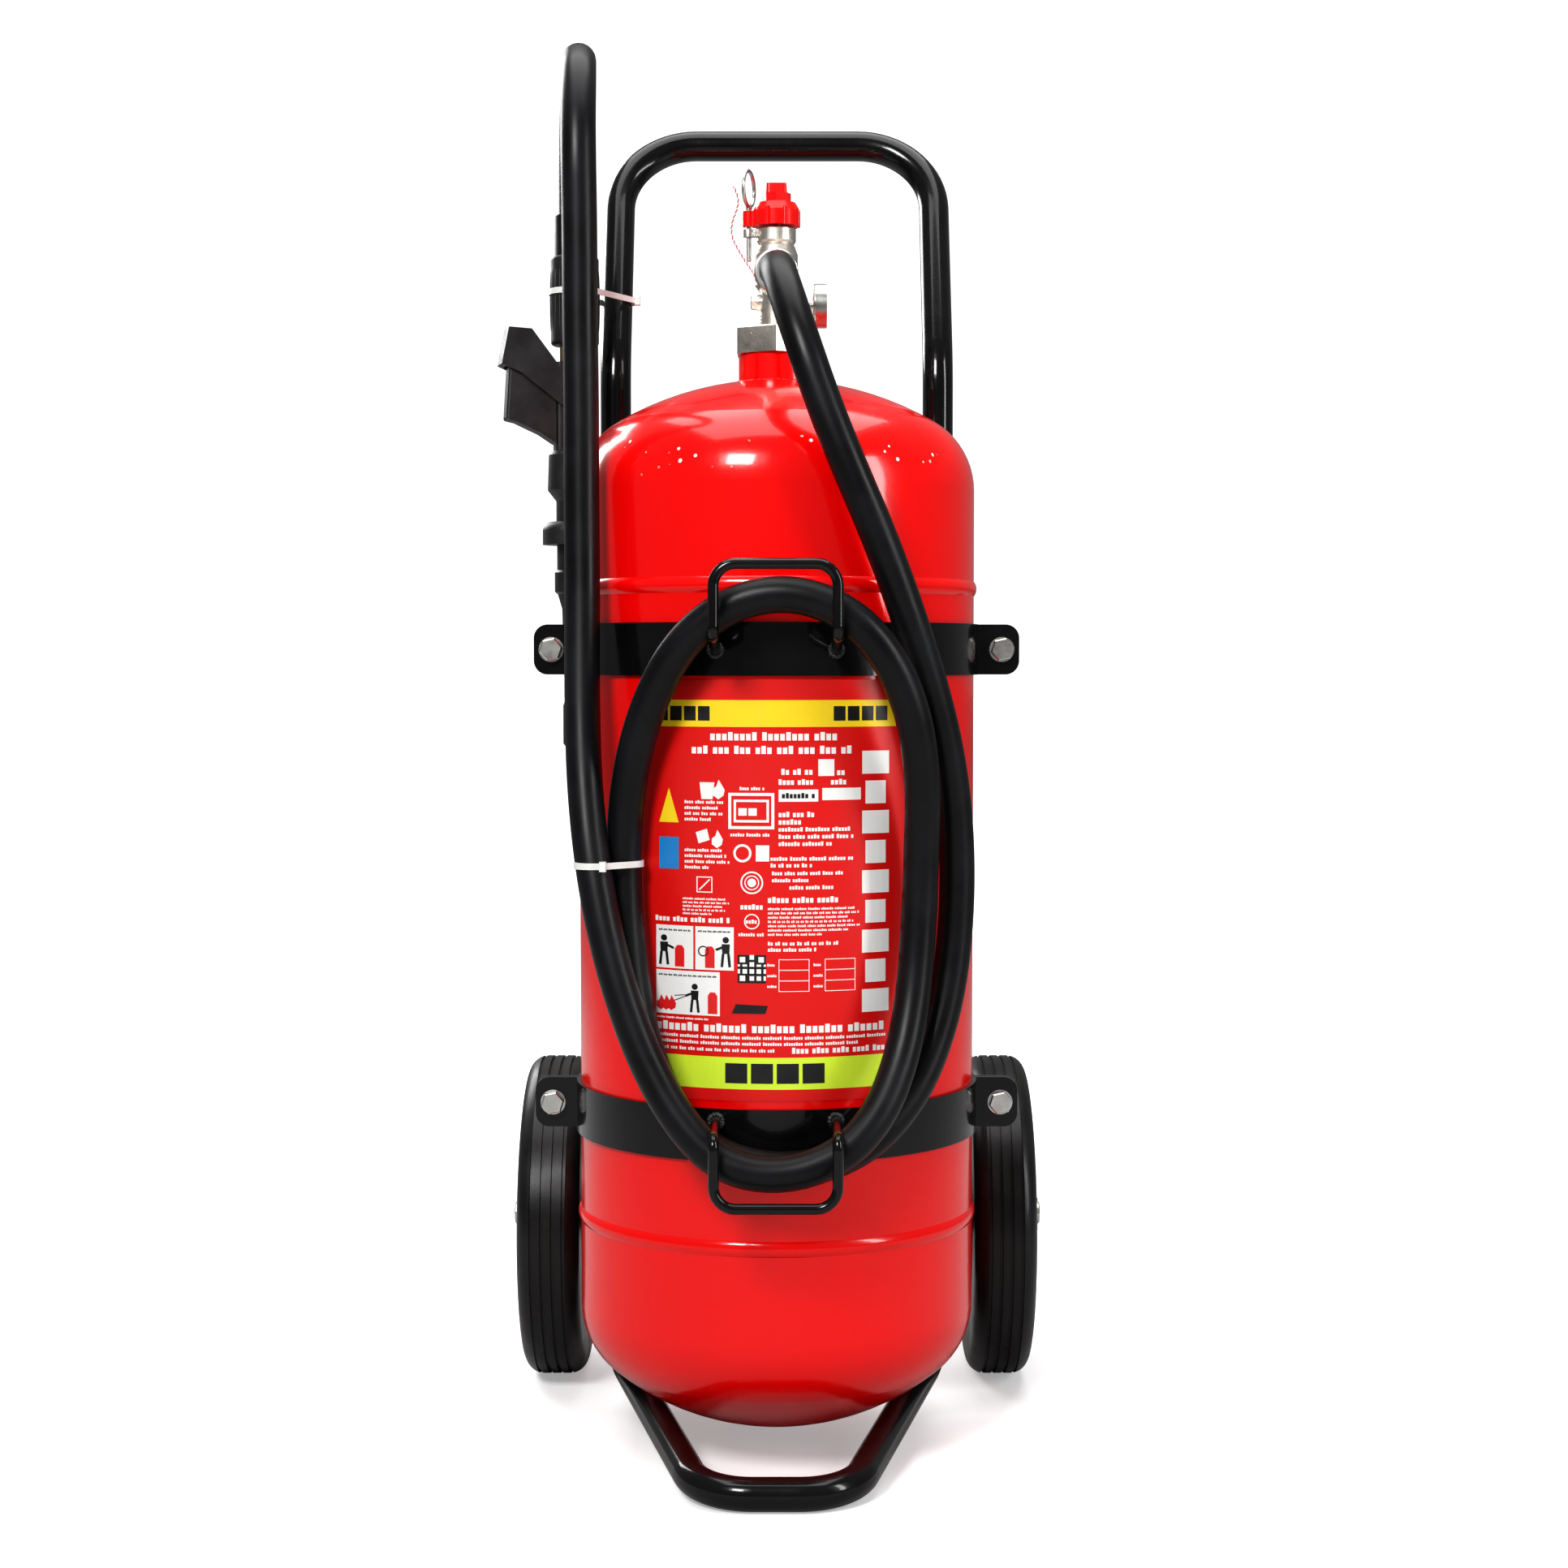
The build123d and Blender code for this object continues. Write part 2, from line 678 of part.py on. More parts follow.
bracket_front = leg_y + tube_radius + side_gap
for bracket_name, bracket_side in (("left", -1), ("right", 1)):
    bracket_near_x = bracket_side * leg_x - bracket_thickness / 2
    with BuildPart() as bracket:
        with BuildSketch(Plane((bracket_near_x, 0, 0), x_dir=(0, 1, 0), z_dir=(1, 0, 0))):
            with BuildLine():
                Polyline(
                    (bracket_front, axle_z - 45),
                    (wheel_y, axle_z - 28),
                    (wheel_y + 20, axle_z - 20),
                    (wheel_y + 28, axle_z),
                    (wheel_y + 20, axle_z + 20),
                    (bracket_front + 18, axle_z + 110),
                    (bracket_front, axle_z + 110),
                    close=True,
                )
            make_face()
            with Locations((wheel_y, axle_z)):
                Circle(axle_tube_radius + shaft_clearance, mode=Mode.SUBTRACT)
        extrude(amount=bracket_thickness)
    bracket.part.label = f"{bracket_name}_axle_bracket"
    export_step(bracket.part, f"parts/{bracket_name}_axle_bracket.step")

with BuildPart() as axle_tube:
    with BuildSketch(axle_plane(-axle_tube_half)):
        Circle(axle_tube_radius)
        Circle(axle_radius + shaft_clearance, mode=Mode.SUBTRACT)
    extrude(amount=2 * axle_tube_half)
axle_tube.part.label = "axle_tube"
export_step(axle_tube.part, "parts/axle_tube.step")

split_pin_x = axle_half_length - 1.6
with BuildPart() as axle:
    with BuildSketch(axle_plane(-axle_half_length)):
        Circle(axle_radius)
    extrude(amount=2 * axle_half_length)
    chamfer(axle.edges().filter_by(GeomType.CIRCLE), 1.0)
    with BuildSketch(Plane((0, wheel_y, axle_z + axle_radius), x_dir=(1, 0, 0), z_dir=(0, 0, 1))):
        with Locations((-split_pin_x + 0.6, 0), (split_pin_x - 0.6, 0)):
            Circle(1.3)
    extrude(amount=-2 * axle_radius, mode=Mode.SUBTRACT)
axle.part.label = "axle"
export_step(axle.part, "parts/axle.step")

with BuildPart() as split_pins:
    with BuildSketch(Plane((0, wheel_y, axle_z + axle_radius + 3), x_dir=(1, 0, 0), z_dir=(0, 0, 1))):
        with Locations((-split_pin_x + 0.6, 0), (split_pin_x - 0.6, 0)):
            Circle(1.2)
    extrude(amount=-2 * axle_radius - 9)
split_pins.part.label = "split_pins"
export_step(split_pins.part, "parts/split_pins.step")

hub_near = wheel_x - hub_half_length
hub_far = wheel_x + hub_half_length
with BuildPart() as axle_washers:
    for washer_side in (-1, 1):
        for washer_x in (hub_near - side_gap - washer_thickness, hub_far + side_gap):
            washer_middle = washer_side * (washer_x + washer_thickness / 2)
            with BuildSketch(axle_plane(washer_middle - washer_thickness / 2)):
                Circle(washer_radius)
                Circle(axle_radius + shaft_clearance, mode=Mode.SUBTRACT)
            extrude(amount=washer_thickness)
axle_washers.part.label = "axle_washers"
export_step(axle_washers.part, "parts/axle_washers.step")

shoulder_radius = 15.0
groove_width = 3.0
groove_depth = 2.5
groove_pitch = 9.0
for wheel_name, wheel_side in (("left", -1), ("right", 1)):
    centre_x = wheel_side * wheel_x
    wheel_axis = Axis((0, wheel_y, axle_z), (1, 0, 0))
    section_plane = Plane((centre_x, wheel_y, axle_z), x_dir=(1, 0, 0), z_dir=(0, -1, 0))
    with BuildPart() as tyre:
        with BuildSketch(section_plane):
            with Locations((0, (rim_radius + wheel_radius) / 2)):
                Rectangle(2 * tyre_half_width, wheel_radius - rim_radius)
        revolve(axis=wheel_axis)
        fillet(tyre.edges().filter_by(GeomType.CIRCLE).sort_by(SortBy.LENGTH)[-2:], shoulder_radius)
        with BuildSketch(section_plane):
            with GridLocations(groove_pitch, 1, tread_grooves, 1):
                with Locations((0, wheel_radius)):
                    Rectangle(groove_width, 2 * groove_depth)
        revolve(axis=wheel_axis, mode=Mode.SUBTRACT)
    tyre.part.label = f"{wheel_name}_tyre"
    export_step(tyre.part, f"parts/{wheel_name}_tyre.step")

    with BuildPart() as rim:
        with BuildSketch(section_plane):
            with Locations((0, rim_radius - 4)):
                Rectangle(2 * tyre_half_width - 4, 8.0)
            with Locations((0, (rim_radius + hub_radius) / 2)):
                Rectangle(8.0, rim_radius - hub_radius)
            with Locations((0, (hub_radius + bush_radius) / 2)):
                Rectangle(2 * hub_half_length, hub_radius - bush_radius)
        revolve(axis=wheel_axis)
        with BuildSketch(axle_plane(centre_x - 10)):
            with PolarLocations((rim_radius + hub_radius) / 2 - 3, rim_holes):
                Circle(rim_hole_radius)
        extrude(amount=20, mode=Mode.SUBTRACT)
    rim.part.label = f"{wheel_name}_rim"
    export_step(rim.part, f"parts/{wheel_name}_rim.step")

    with BuildPart() as bush:
        with BuildSketch(axle_plane(centre_x - hub_half_length)):
            Circle(bush_radius)
            Circle(axle_radius + shaft_clearance, mode=Mode.SUBTRACT)
        extrude(amount=2 * hub_half_length)
    bush.part.label = f"{wheel_name}_wheel_bush"
    export_step(bush.part, f"parts/{wheel_name}_wheel_bush.step")

# =====================================================================================
# Discharge hose: out of the valve, down the right side, once round the hangers, up the
# left side and over to the gun. Each place is measured from the tank's axis.
# =====================================================================================
hose_route = [
    (0, -64, 934),
    (0, -99, 934),
    (6, -140, 911),
    (19, -164, 869),
    (35, -169, 822),
    (54, -172, 775),
    (75, -170, 727),
    (94, -161, 678),
    (112, -148, 626),
    (127, -134, 573),
    (136, -122, 516),
    (138, -118, 458),
    (134, -121, 402),
    (123, -131, 352),
    (103, -148, 308),
    (73, -166, 276),
    (36, -177, 259),
    (-6, -180, 256),
    (-46, -177, 267),
    (-77, -165, 296),
    (-98, -151, 340),
    (-109, -143, 392),
    (-114, -137, 446),
    (-115, -136, 500),
    (-109, -143, 554),
    (-94, -157, 604),
    (-70, -175, 647),
    (-33, -187, 676),
    (11, -190, 684),
    (53, -190, 669),
    (83, -186, 637),
    (101, -178, 596),
    (109, -164, 548),
    (109, -150, 496),
    (107, -148, 440),
    (103, -155, 386),
    (94, -171, 340),
    (77, -191, 300),
    (48, -206, 271),
    (4, -210, 257),
    (-40, -209, 265),
    (-72, -199, 297),
    (-97, -186, 341),
    (-115, -176, 388),
    (-128, -166, 436),
    (-137, -155, 484),
    (-143, -140, 532),
    (-146, -126, 582),
    (-147, -115, 636),
    (-147, -107, 694),
    (-148, -102, 757),
    (-148, -99, 824),
    (-149, -97, 893),
    (-149, -97, 962),
    (-150, -98, 1030),
    (-151, -75, 1079),
    (-154, -33, 1104),
    (-158, 16, 1104),
    (-164, 58, 1081),
    (-167, 82, 1040),
    (-167, 82, 1000),
]


def cord_tube(places, radius):
    """A round tube along the places, each bend as large as its two runs allow."""
    points = [Vector(x, y + tank_y, z) for x, y, z in places]
    runs = [after - before for before, after in zip(points, points[1:])]
    bends = []
    for before, after in zip(runs, runs[1:]):
        half_turn = radians(before.get_angle(after)) / 2
        bends.append(fillet_share * min(before.length, after.length) / tan(half_turn))
    with BuildPart() as tube:
        with BuildLine() as path:
            FilletPolyline(*points, radius=bends)
        with BuildSketch(Plane(path.line @ 0, z_dir=path.line % 0)):
            Circle(radius)
        sweep()
    return tube, path.wires()[0].length, bends


hose, hose_length, hose_bends = cord_tube(hose_route, hose_radius)
hose.part.label = "discharge_hose"
export_step(hose.part, "parts/discharge_hose.step")
print("hose length", round(hose_length), "tightest bend", round(min(hose_bends)))
print("hose bends", [round(bend) for bend in hose_bends])
print("hose volume against section times length", hose.part.volume / (pi * hose_radius**2 * hose_length))

# Seal cord: a short twine tied beside the safety pin
seal_route = [
    (-34, -3, 1009),
    (-31, -3, 1003),
    (-30, -3, 996),
    (-32, -2, 989),
    (-35, -1, 982),
    (-36, 0, 974),
    (-34, 0, 966),
    (-30, 0, 959),
    (-26, -2, 952),
    (-22, -5, 946),
    (-18, -9, 940),
    (-16, -13, 933),
]
seal_cord_radius = 0.8
seal, seal_length, seal_bends = cord_tube(seal_route, seal_cord_radius)
seal.part.label = "seal_cord"
export_step(seal.part, "parts/seal_cord.step")
print("seal cord length", round(seal_length), "tightest bend", round(min(seal_bends), 1))

# =====================================================================================
# Hand gun, hung nozzle down beside the left leg
# =====================================================================================
grip_out = Vector(-cos(radians(gun_turn)), -sin(radians(gun_turn)), 0)
grip_across = Vector(grip_out.Y, -grip_out.X, 0)
gun_axis = Axis((gun_x, gun_y, 0), (0, 0, 1))


def gun_level(height):
    return Plane((gun_x, gun_y, height), x_dir=tuple(grip_out), z_dir=(0, 0, 1))


def gun_side(across):
    """The upright plane of the grip, moved sideways; its x runs outwards and its y up."""
    origin = Vector(gun_x, gun_y, 0) + grip_across * across
    return Plane(tuple(origin), x_dir=tuple(grip_out), z_dir=tuple(grip_across))


sleeve_low_z = 966.0
coupling_low_z = 893.0
fitting_low_z = 879.0
block_low_z = 806.0
with BuildPart() as gun_hose_sleeve:
    with BuildSketch(gun_level(sleeve_low_z)):
        Circle(16.5)
        Circle(outlet_bore, mode=Mode.SUBTRACT)
    extrude(amount=hose_end_z - sleeve_low_z)
    sleeve_rims = gun_hose_sleeve.edges().filter_by(GeomType.CIRCLE).group_by(Axis.Z)[-1]
    fillet(sleeve_rims.sort_by(SortBy.LENGTH)[-1], 1.5)
gun_hose_sleeve.part.label = "gun_hose_sleeve"
export_step(gun_hose_sleeve.part, "parts/gun_hose_sleeve.step")

with BuildPart() as gun_coupling:
    with BuildSketch(gun_level(coupling_low_z)):
        Circle(19.8)
    extrude(amount=sleeve_low_z - coupling_low_z)
    fillet(gun_coupling.edges().filter_by(GeomType.CIRCLE), 3.0)
    with BuildSketch(gun_level(coupling_low_z)):
        Circle(outlet_bore)
    extrude(amount=sleeve_low_z - coupling_low_z, mode=Mode.SUBTRACT)
gun_coupling.part.label = "gun_coupling"
export_step(gun_coupling.part, "parts/gun_coupling.step")

with BuildPart() as gun_fitting:
    with BuildSketch(gun_level(fitting_low_z)):
        RegularPolygon(11.0, 6, major_radius=False)
        Circle(outlet_bore, mode=Mode.SUBTRACT)
    extrude(amount=coupling_low_z - fitting_low_z)
gun_fitting.part.label = "gun_fitting"
export_step(gun_fitting.part, "parts/gun_fitting.step")

rod_bore = 5.0
with BuildPart() as gun_body:
    with BuildSketch(gun_level(block_low_z)):
        with Locations((1.0, 0)):
            RectangleRounded(33.0, grip_width, 4.0)
    extrude(amount=fitting_low_z - block_low_z)
    with BuildSketch(gun_level(block_low_z)):
        Circle(rod_bore)
    extrude(amount=fitting_low_z - block_low_z, mode=Mode.SUBTRACT)
    with BuildSketch(gun_side(-grip_width)):
        with Locations(lever_pivot):
            Circle(lever_pin_radius + shaft_clearance)
    extrude(amount=2 * grip_width, mode=Mode.SUBTRACT)
gun_body.part.label = "gun_body"
export_step(gun_body.part, "parts/gun_body.step")

grip_root = 17.5
grip_reach = 45.0             # edges further out than this are rounded


def gun_middle(edge):
    """The place on the gun's axis level with an edge."""
    return Vector(gun_x, gun_y, edge.center().Z)


with BuildPart() as gun_grip:
    with BuildSketch(gun_side(-grip_width / 2)):
        with BuildLine():
            Polyline(
                (grip_root, 812),
                (30, 820),
                (50, 829),
                (59, 831),
                (56, 880),
                (grip_root, 846),
                close=True,
            )
        make_face()
    extrude(amount=grip_width)
    grip_edges = gun_grip.edges().filter_by(lambda edge: edge.length > grip_width - 1)
    fillet(grip_edges.filter_by(lambda edge: (edge.center() - gun_middle(edge)).length > grip_reach), 2.5)
gun_grip.part.label = "gun_grip"
export_step(gun_grip.part, "parts/gun_grip.step")

lever_inner = grip_width + 1.4
lever_outer = lever_inner + 2 * lever_wall
with BuildPart() as gun_lever:
    with BuildSketch(gun_side(-lever_outer / 2)):
        with BuildLine():
            Polyline(
                (4, 858),
                (9, 867),
                (38, 905),
                (57, 906),
                (63, 876),
                (47, 869),
                (13, 843),
                (6, 844),
                close=True,
            )
        make_face()
    extrude(amount=lever_outer)
    with BuildSketch(gun_side(-lever_inner / 2)):
        with BuildLine():
            Polyline(
                (-2, 890),
                (20.5, 890),
                (20.5, 877),
                (39.5, 901.5),
                (53.8, 902.5),
                (60.3, 866),
                (47, 860),
                (13, 833),
                (-2, 833),
                close=True,
            )
        make_face()
    extrude(amount=lever_inner, mode=Mode.SUBTRACT)
    with BuildSketch(gun_side(-grip_width)):
        with Locations(lever_pivot):
            Circle(lever_pin_radius + shaft_clearance)
    extrude(amount=2 * grip_width, mode=Mode.SUBTRACT)
gun_lever.part.label = "gun_lever"
export_step(gun_lever.part, "parts/gun_lever.step")

with BuildPart() as lever_pin:
    with BuildSketch(gun_side(-lever_outer / 2 - 1)):
        with Locations(lever_pivot):
            Circle(lever_pin_radius)
    extrude(amount=lever_outer + 2)
lever_pin.part.label = "lever_pin"
export_step(lever_pin.part, "parts/lever_pin.step")

with BuildPart() as gun_valve_rod:
    with BuildSketch(gun_level(block_low_z + 2)):
        Circle(rod_bore - side_gap)
    extrude(amount=5.0)
    with BuildSketch(gun_level(block_low_z + 2)):
        Circle(1.6)
    extrude(amount=lever_pivot[1] - lever_pin_radius - block_low_z - 6)
gun_valve_rod.part.label = "gun_valve_rod"
export_step(gun_valve_rod.part, "parts/gun_valve_rod.step")

with BuildPart() as gun_spring:
    with BuildSketch(gun_level(block_low_z + 14)):
        Circle(rod_bore - side_gap)
        Circle(rod_bore - side_gap - 1.2, mode=Mode.SUBTRACT)
    extrude(amount=18.0)
gun_spring.part.label = "gun_spring"
export_step(gun_spring.part, "parts/gun_spring.step")

# Barrel: a stepped turned tube from the block down to the nozzle
barrel_bore = 5.0
flange_low_z = 729.0
collar_low_z = 688.0
tip_low_z = 562.0
with BuildPart() as gun_barrel:
    with BuildSketch(Plane((gun_x, gun_y, 0), x_dir=(1, 0, 0), z_dir=(0, -1, 0))):
        with BuildLine():
            Polyline(
                (barrel_bore, block_low_z),
                (20.0, block_low_z),
                (22.0, block_low_z - 3),
                (23.0, 774),
                (16.0, 765),
                (16.0, 748),
                (barrel_bore, 748),
                close=True,
            )
        make_face()
    revolve(axis=gun_axis)
gun_barrel.part.label = "gun_barrel"
export_step(gun_barrel.part, "parts/gun_barrel.step")

with BuildPart() as gun_selector:
    with BuildSketch(gun_level(flange_low_z)):
        Circle(27.3)
        Circle(barrel_bore, mode=Mode.SUBTRACT)
    extrude(amount=748.0 - flange_low_z)
    fillet(gun_selector.edges().group_by(Axis.Z)[-1].sort_by(SortBy.LENGTH)[-1], 8.0)
gun_selector.part.label = "gun_selector"
export_step(gun_selector.part, "parts/gun_selector.step")

with BuildPart() as gun_nozzle:
    with BuildSketch(Plane((gun_x, gun_y, 0), x_dir=(1, 0, 0), z_dir=(0, -1, 0))):
        with BuildLine():
            Polyline(
                (barrel_bore, flange_low_z),
                (15.5, flange_low_z),
                (15.5, 708),
                (17.5, 706),
                (17.5, 690),
                (15.0, 688),
                (11.5, 676),
                (9.5, 600),
                (11.0, 596),
                (11.0, tip_low_z + 2),
                (9.5, tip_low_z),
                (barrel_bore, tip_low_z),
                close=True,
            )
        make_face()
    revolve(axis=gun_axis)
gun_nozzle.part.label = "gun_nozzle"
export_step(gun_nozzle.part, "parts/gun_nozzle.step")


# Cable ties: a flat strap pulled round two things, with its small square head
tie_width = 4.8
tie_thickness = 1.4
tie_slack = 0.3
gun_tie_z = 937.0
hose_tie_z = 481.0


def cable_tie(height, first, second, head):
    """A level strap round two circles (x, y, radius), with its head at a point (x, y)."""
    base = Plane.XY.offset(height - tie_width / 2)
    with BuildPart() as tie:
        for grow, mode in ((tie_slack + tie_thickness, Mode.ADD), (tie_slack, Mode.SUBTRACT)):
            with BuildSketch(base):
                for x, y, radius in (first, second):
                    with Locations((x, y)):
                        Circle(radius + grow)
                make_hull()
            extrude(amount=tie_width, mode=mode)
        with BuildSketch(base.offset(-1.2)):
            with Locations(head):
                RectangleRounded(5.0, 7.5, 1.0)
        extrude(amount=tie_width + 2.4)
        with BuildSketch(base.offset(-1.3)):
            for x, y, radius in (first, second):
                with Locations((x, y)):
                    Circle(radius + tie_slack)
            make_hull()
        extrude(amount=tie_width + 2.6, mode=Mode.SUBTRACT)
    return tie


leg_lean = (gun_tie_z - lean_start_z) * tan(radians(lean_angle))
leg_section = tube_radius / cos(radians(lean_angle))
gun_tie = cable_tie(
    gun_tie_z,
    (gun_x, gun_y, 19.8),
    (-leg_x, leg_y + leg_lean, leg_section + tie_width / 4),
    (-leg_x + leg_section + 3.0, leg_y + leg_lean - 4.0),
)
gun_tie.part.label = "gun_tie"
export_step(gun_tie.part, "parts/gun_tie.step")

hose_tie = cable_tie(
    hose_tie_z,
    (-114.6, tank_y - 136.3, hose_radius),
    (-135.5, tank_y - 155.5, hose_radius),
    (-128.0, tank_y - 171.0),
)
hose_tie.part.label = "hose_tie"
export_step(hose_tie.part, "parts/hose_tie.step")
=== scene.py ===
from math import cos, pi, radians, sin, sqrt

import bpy
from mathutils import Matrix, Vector


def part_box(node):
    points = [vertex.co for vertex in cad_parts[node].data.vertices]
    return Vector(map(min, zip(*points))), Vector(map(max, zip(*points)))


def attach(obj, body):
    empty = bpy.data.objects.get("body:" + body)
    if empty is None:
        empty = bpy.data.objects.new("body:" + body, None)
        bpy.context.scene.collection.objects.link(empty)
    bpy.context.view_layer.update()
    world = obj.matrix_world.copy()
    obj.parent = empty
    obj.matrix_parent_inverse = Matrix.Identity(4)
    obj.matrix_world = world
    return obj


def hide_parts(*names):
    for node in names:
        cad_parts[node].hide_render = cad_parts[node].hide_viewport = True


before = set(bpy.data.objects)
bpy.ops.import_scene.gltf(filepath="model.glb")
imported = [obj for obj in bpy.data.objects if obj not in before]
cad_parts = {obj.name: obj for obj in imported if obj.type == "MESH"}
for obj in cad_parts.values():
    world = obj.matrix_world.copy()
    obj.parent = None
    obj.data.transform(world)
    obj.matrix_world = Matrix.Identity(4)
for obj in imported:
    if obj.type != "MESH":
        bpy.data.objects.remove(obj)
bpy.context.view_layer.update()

# Looks of the wheeled foam fire extinguisher: gloss red tank, black trolley, satin black
# hose on two rod hangers, nickel valve with a red knob, printed front panel, ribbed tyres.


# =====================================================================================
# Places taken from the frame
# =====================================================================================
def corners(node):
    low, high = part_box(node)
    return Vector(low), Vector(high)


def middle(node):
    low, high = corners(node)
    return (low + high) / 2


neck_low, neck_high = corners("neck_boss")
label_low, label_high = corners("front_label")
tank_high = corners("tank_shell")[1]
tank_y = middle("neck_boss").y
label_film = 0.0004
tank_radius = tank_y - label_low.y - label_film

# =====================================================================================
# Camera
# =====================================================================================
camera_lens = 60.1            # in mm, on a sensor 36 mm wide
camera_side = 0.006
camera_ahead = 2.1            # in front of the tank's axis
camera_height = 0.635
camera_tilt = 2.75            # degrees below level

camera_data = bpy.data.cameras.new("camera")
camera_data.lens = camera_lens
camera_data.sensor_width = 36.0
camera = bpy.data.objects.new("camera", camera_data)
camera.location = (camera_side, tank_y - camera_ahead, camera_height)
camera.rotation_euler = (radians(90 - camera_tilt), 0, 0)
bpy.context.scene.collection.objects.link(camera)
bpy.context.scene.camera = camera

# =====================================================================================
# Cords: each place is measured from the tank's axis, in metres
# =====================================================================================
hose_diameter = 0.027
hose_route = [
    (0.000, -0.064, 0.934),
    (0.000, -0.099, 0.934),
    (0.006, -0.140, 0.911),
    (0.019, -0.164, 0.869),
    (0.035, -0.169, 0.822),
    (0.054, -0.172, 0.775),
    (0.075, -0.170, 0.727),
    (0.094, -0.161, 0.678),
    (0.112, -0.148, 0.626),
    (0.127, -0.134, 0.573),
    (0.136, -0.122, 0.516),
    (0.138, -0.118, 0.458),
    (0.134, -0.121, 0.402),
    (0.123, -0.131, 0.352),
    (0.103, -0.148, 0.308),
    (0.073, -0.166, 0.276),
    (0.036, -0.177, 0.259),
    (-0.006, -0.180, 0.256),
    (-0.046, -0.177, 0.267),
    (-0.077, -0.165, 0.296),
    (-0.098, -0.151, 0.340),
    (-0.109, -0.143, 0.392),
    (-0.114, -0.137, 0.446),
    (-0.115, -0.136, 0.500),
    (-0.109, -0.143, 0.554),
    (-0.094, -0.157, 0.604),
    (-0.070, -0.175, 0.647),
    (-0.033, -0.187, 0.676),
    (0.011, -0.190, 0.684),
    (0.053, -0.190, 0.669),
    (0.083, -0.186, 0.637),
    (0.101, -0.178, 0.596),
    (0.109, -0.164, 0.548),
    (0.109, -0.150, 0.496),
    (0.107, -0.148, 0.440),
    (0.103, -0.155, 0.386),
    (0.094, -0.171, 0.340),
    (0.077, -0.191, 0.300),
    (0.048, -0.206, 0.271),
    (0.004, -0.210, 0.257),
    (-0.040, -0.209, 0.265),
    (-0.072, -0.199, 0.297),
    (-0.097, -0.186, 0.341),
    (-0.115, -0.176, 0.388),
    (-0.128, -0.166, 0.436),
    (-0.137, -0.155, 0.484),
    (-0.143, -0.140, 0.532),
    (-0.146, -0.126, 0.582),
    (-0.147, -0.115, 0.636),
    (-0.147, -0.107, 0.694),
    (-0.148, -0.102, 0.757),
    (-0.148, -0.099, 0.824),
    (-0.149, -0.097, 0.893),
    (-0.149, -0.097, 0.962),
    (-0.150, -0.098, 1.030),
    (-0.151, -0.075, 1.079),
    (-0.154, -0.033, 1.104),
    (-0.158, 0.016, 1.104),
    (-0.164, 0.058, 1.081),
    (-0.167, 0.082, 1.040),
    (-0.167, 0.082, 1.000),
]
seal_diameter = 0.0016
seal_route = [
    (-0.034, -0.003, 1.009),
    (-0.031, -0.003, 1.003),
    (-0.030, -0.003, 0.996),
    (-0.032, -0.002, 0.989),
    (-0.035, -0.001, 0.982),
    (-0.036, 0.000, 0.974),
    (-0.034, 0.000, 0.966),
    (-0.030, 0.000, 0.959),
    (-0.026, -0.002, 0.952),
    (-0.022, -0.005, 0.946),
    (-0.018, -0.009, 0.940),
    (-0.016, -0.013, 0.933),
]


spline_order = 3
spline_steps = 12             # between two of a route's points
bevel_steps = 8


def in_frame(route):
    """A route's places, moved from the tank's axis into the frame."""
    return [Vector((x, y + tank_y, z)) for x, y, z in route]


def route_curve(name, route, bevel):
    """An open NURBS curve whose control points are the route's points."""
    curve = bpy.data.curves.new(name, "CURVE")
    curve.dimensions = "3D"
    spline = curve.splines.new("NURBS")
    places = in_frame(route)
    spline.points.add(len(places) - 1)
    for point, place in zip(spline.points, places):
        point.co = (*place, 1.0)
    spline.order_u = spline_order
    spline.use_endpoint_u = True
    spline.resolution_u = spline_steps
    curve.bevel_depth = bevel
    curve.bevel_resolution = bevel_steps
    piece = bpy.data.objects.new(name, curve)
    bpy.context.scene.collection.objects.link(piece)
    return piece


def route_line(name, route):
    """The points along a route's smooth line, read from its spline."""
    guide = route_curve(name, route, 0.0)
    mesh = bpy.data.meshes.new_from_object(guide)
    line = [vertex.co.copy() for vertex in mesh.vertices]
    bpy.data.meshes.remove(mesh)
    bpy.data.objects.remove(guide)
    return line


def mesh_piece(name, vertices, faces, smooth=True):
    mesh = bpy.data.meshes.new(name)
    mesh.from_pydata([tuple(v) for v in vertices], [], faces)
    mesh.update()
    for polygon in mesh.polygons:
        polygon.use_smooth = smooth
    piece = bpy.data.objects.new(name, mesh)
    bpy.context.scene.collection.objects.link(piece)
    return piece


def tube_faces(rings, sides, first=0):
    """Faces of a closed tube made of rings of the same number of points, with end caps."""
    faces = []
    for ring in range(rings - 1):
        for side in range(sides):
            a = first + ring * sides + side
            b = first + ring * sides + (side + 1) % sides
            faces.append((a, b, b + sides, a + sides))
    faces.append(tuple(first + side for side in reversed(range(sides))))
    last = first + (rings - 1) * sides
    faces.append(tuple(last + side for side in range(sides)))
    return faces


def frames_along(line):
    """A steady pair of cross directions at each point of a line."""
    tangents = []
    for index in range(len(line)):
        before = line[max(index - 1, 0)]
        after = line[min(index + 1, len(line) - 1)]
        tangents.append((after - before).normalized())
    across = tangents[0].orthogonal().normalized()
    result = []
    for tangent in tangents:
        across = (across - tangent * across.dot(tangent)).normalized()
        result.append((across, tangent.cross(across)))
    return result


def route_tube(name, route, diameter):
    """A mesh tube along a route's smooth line, closed at both ends."""
    curve_piece = route_curve(name + "_guide", route, diameter / 2)
    curve_piece.data.use_fill_caps = True
    shape = bpy.data.meshes.new_from_object(curve_piece)
    shape.name = name
    bpy.data.objects.remove(curve_piece)
    piece = bpy.data.objects.new(name, shape)
    bpy.context.scene.collection.objects.link(piece)
    return piece


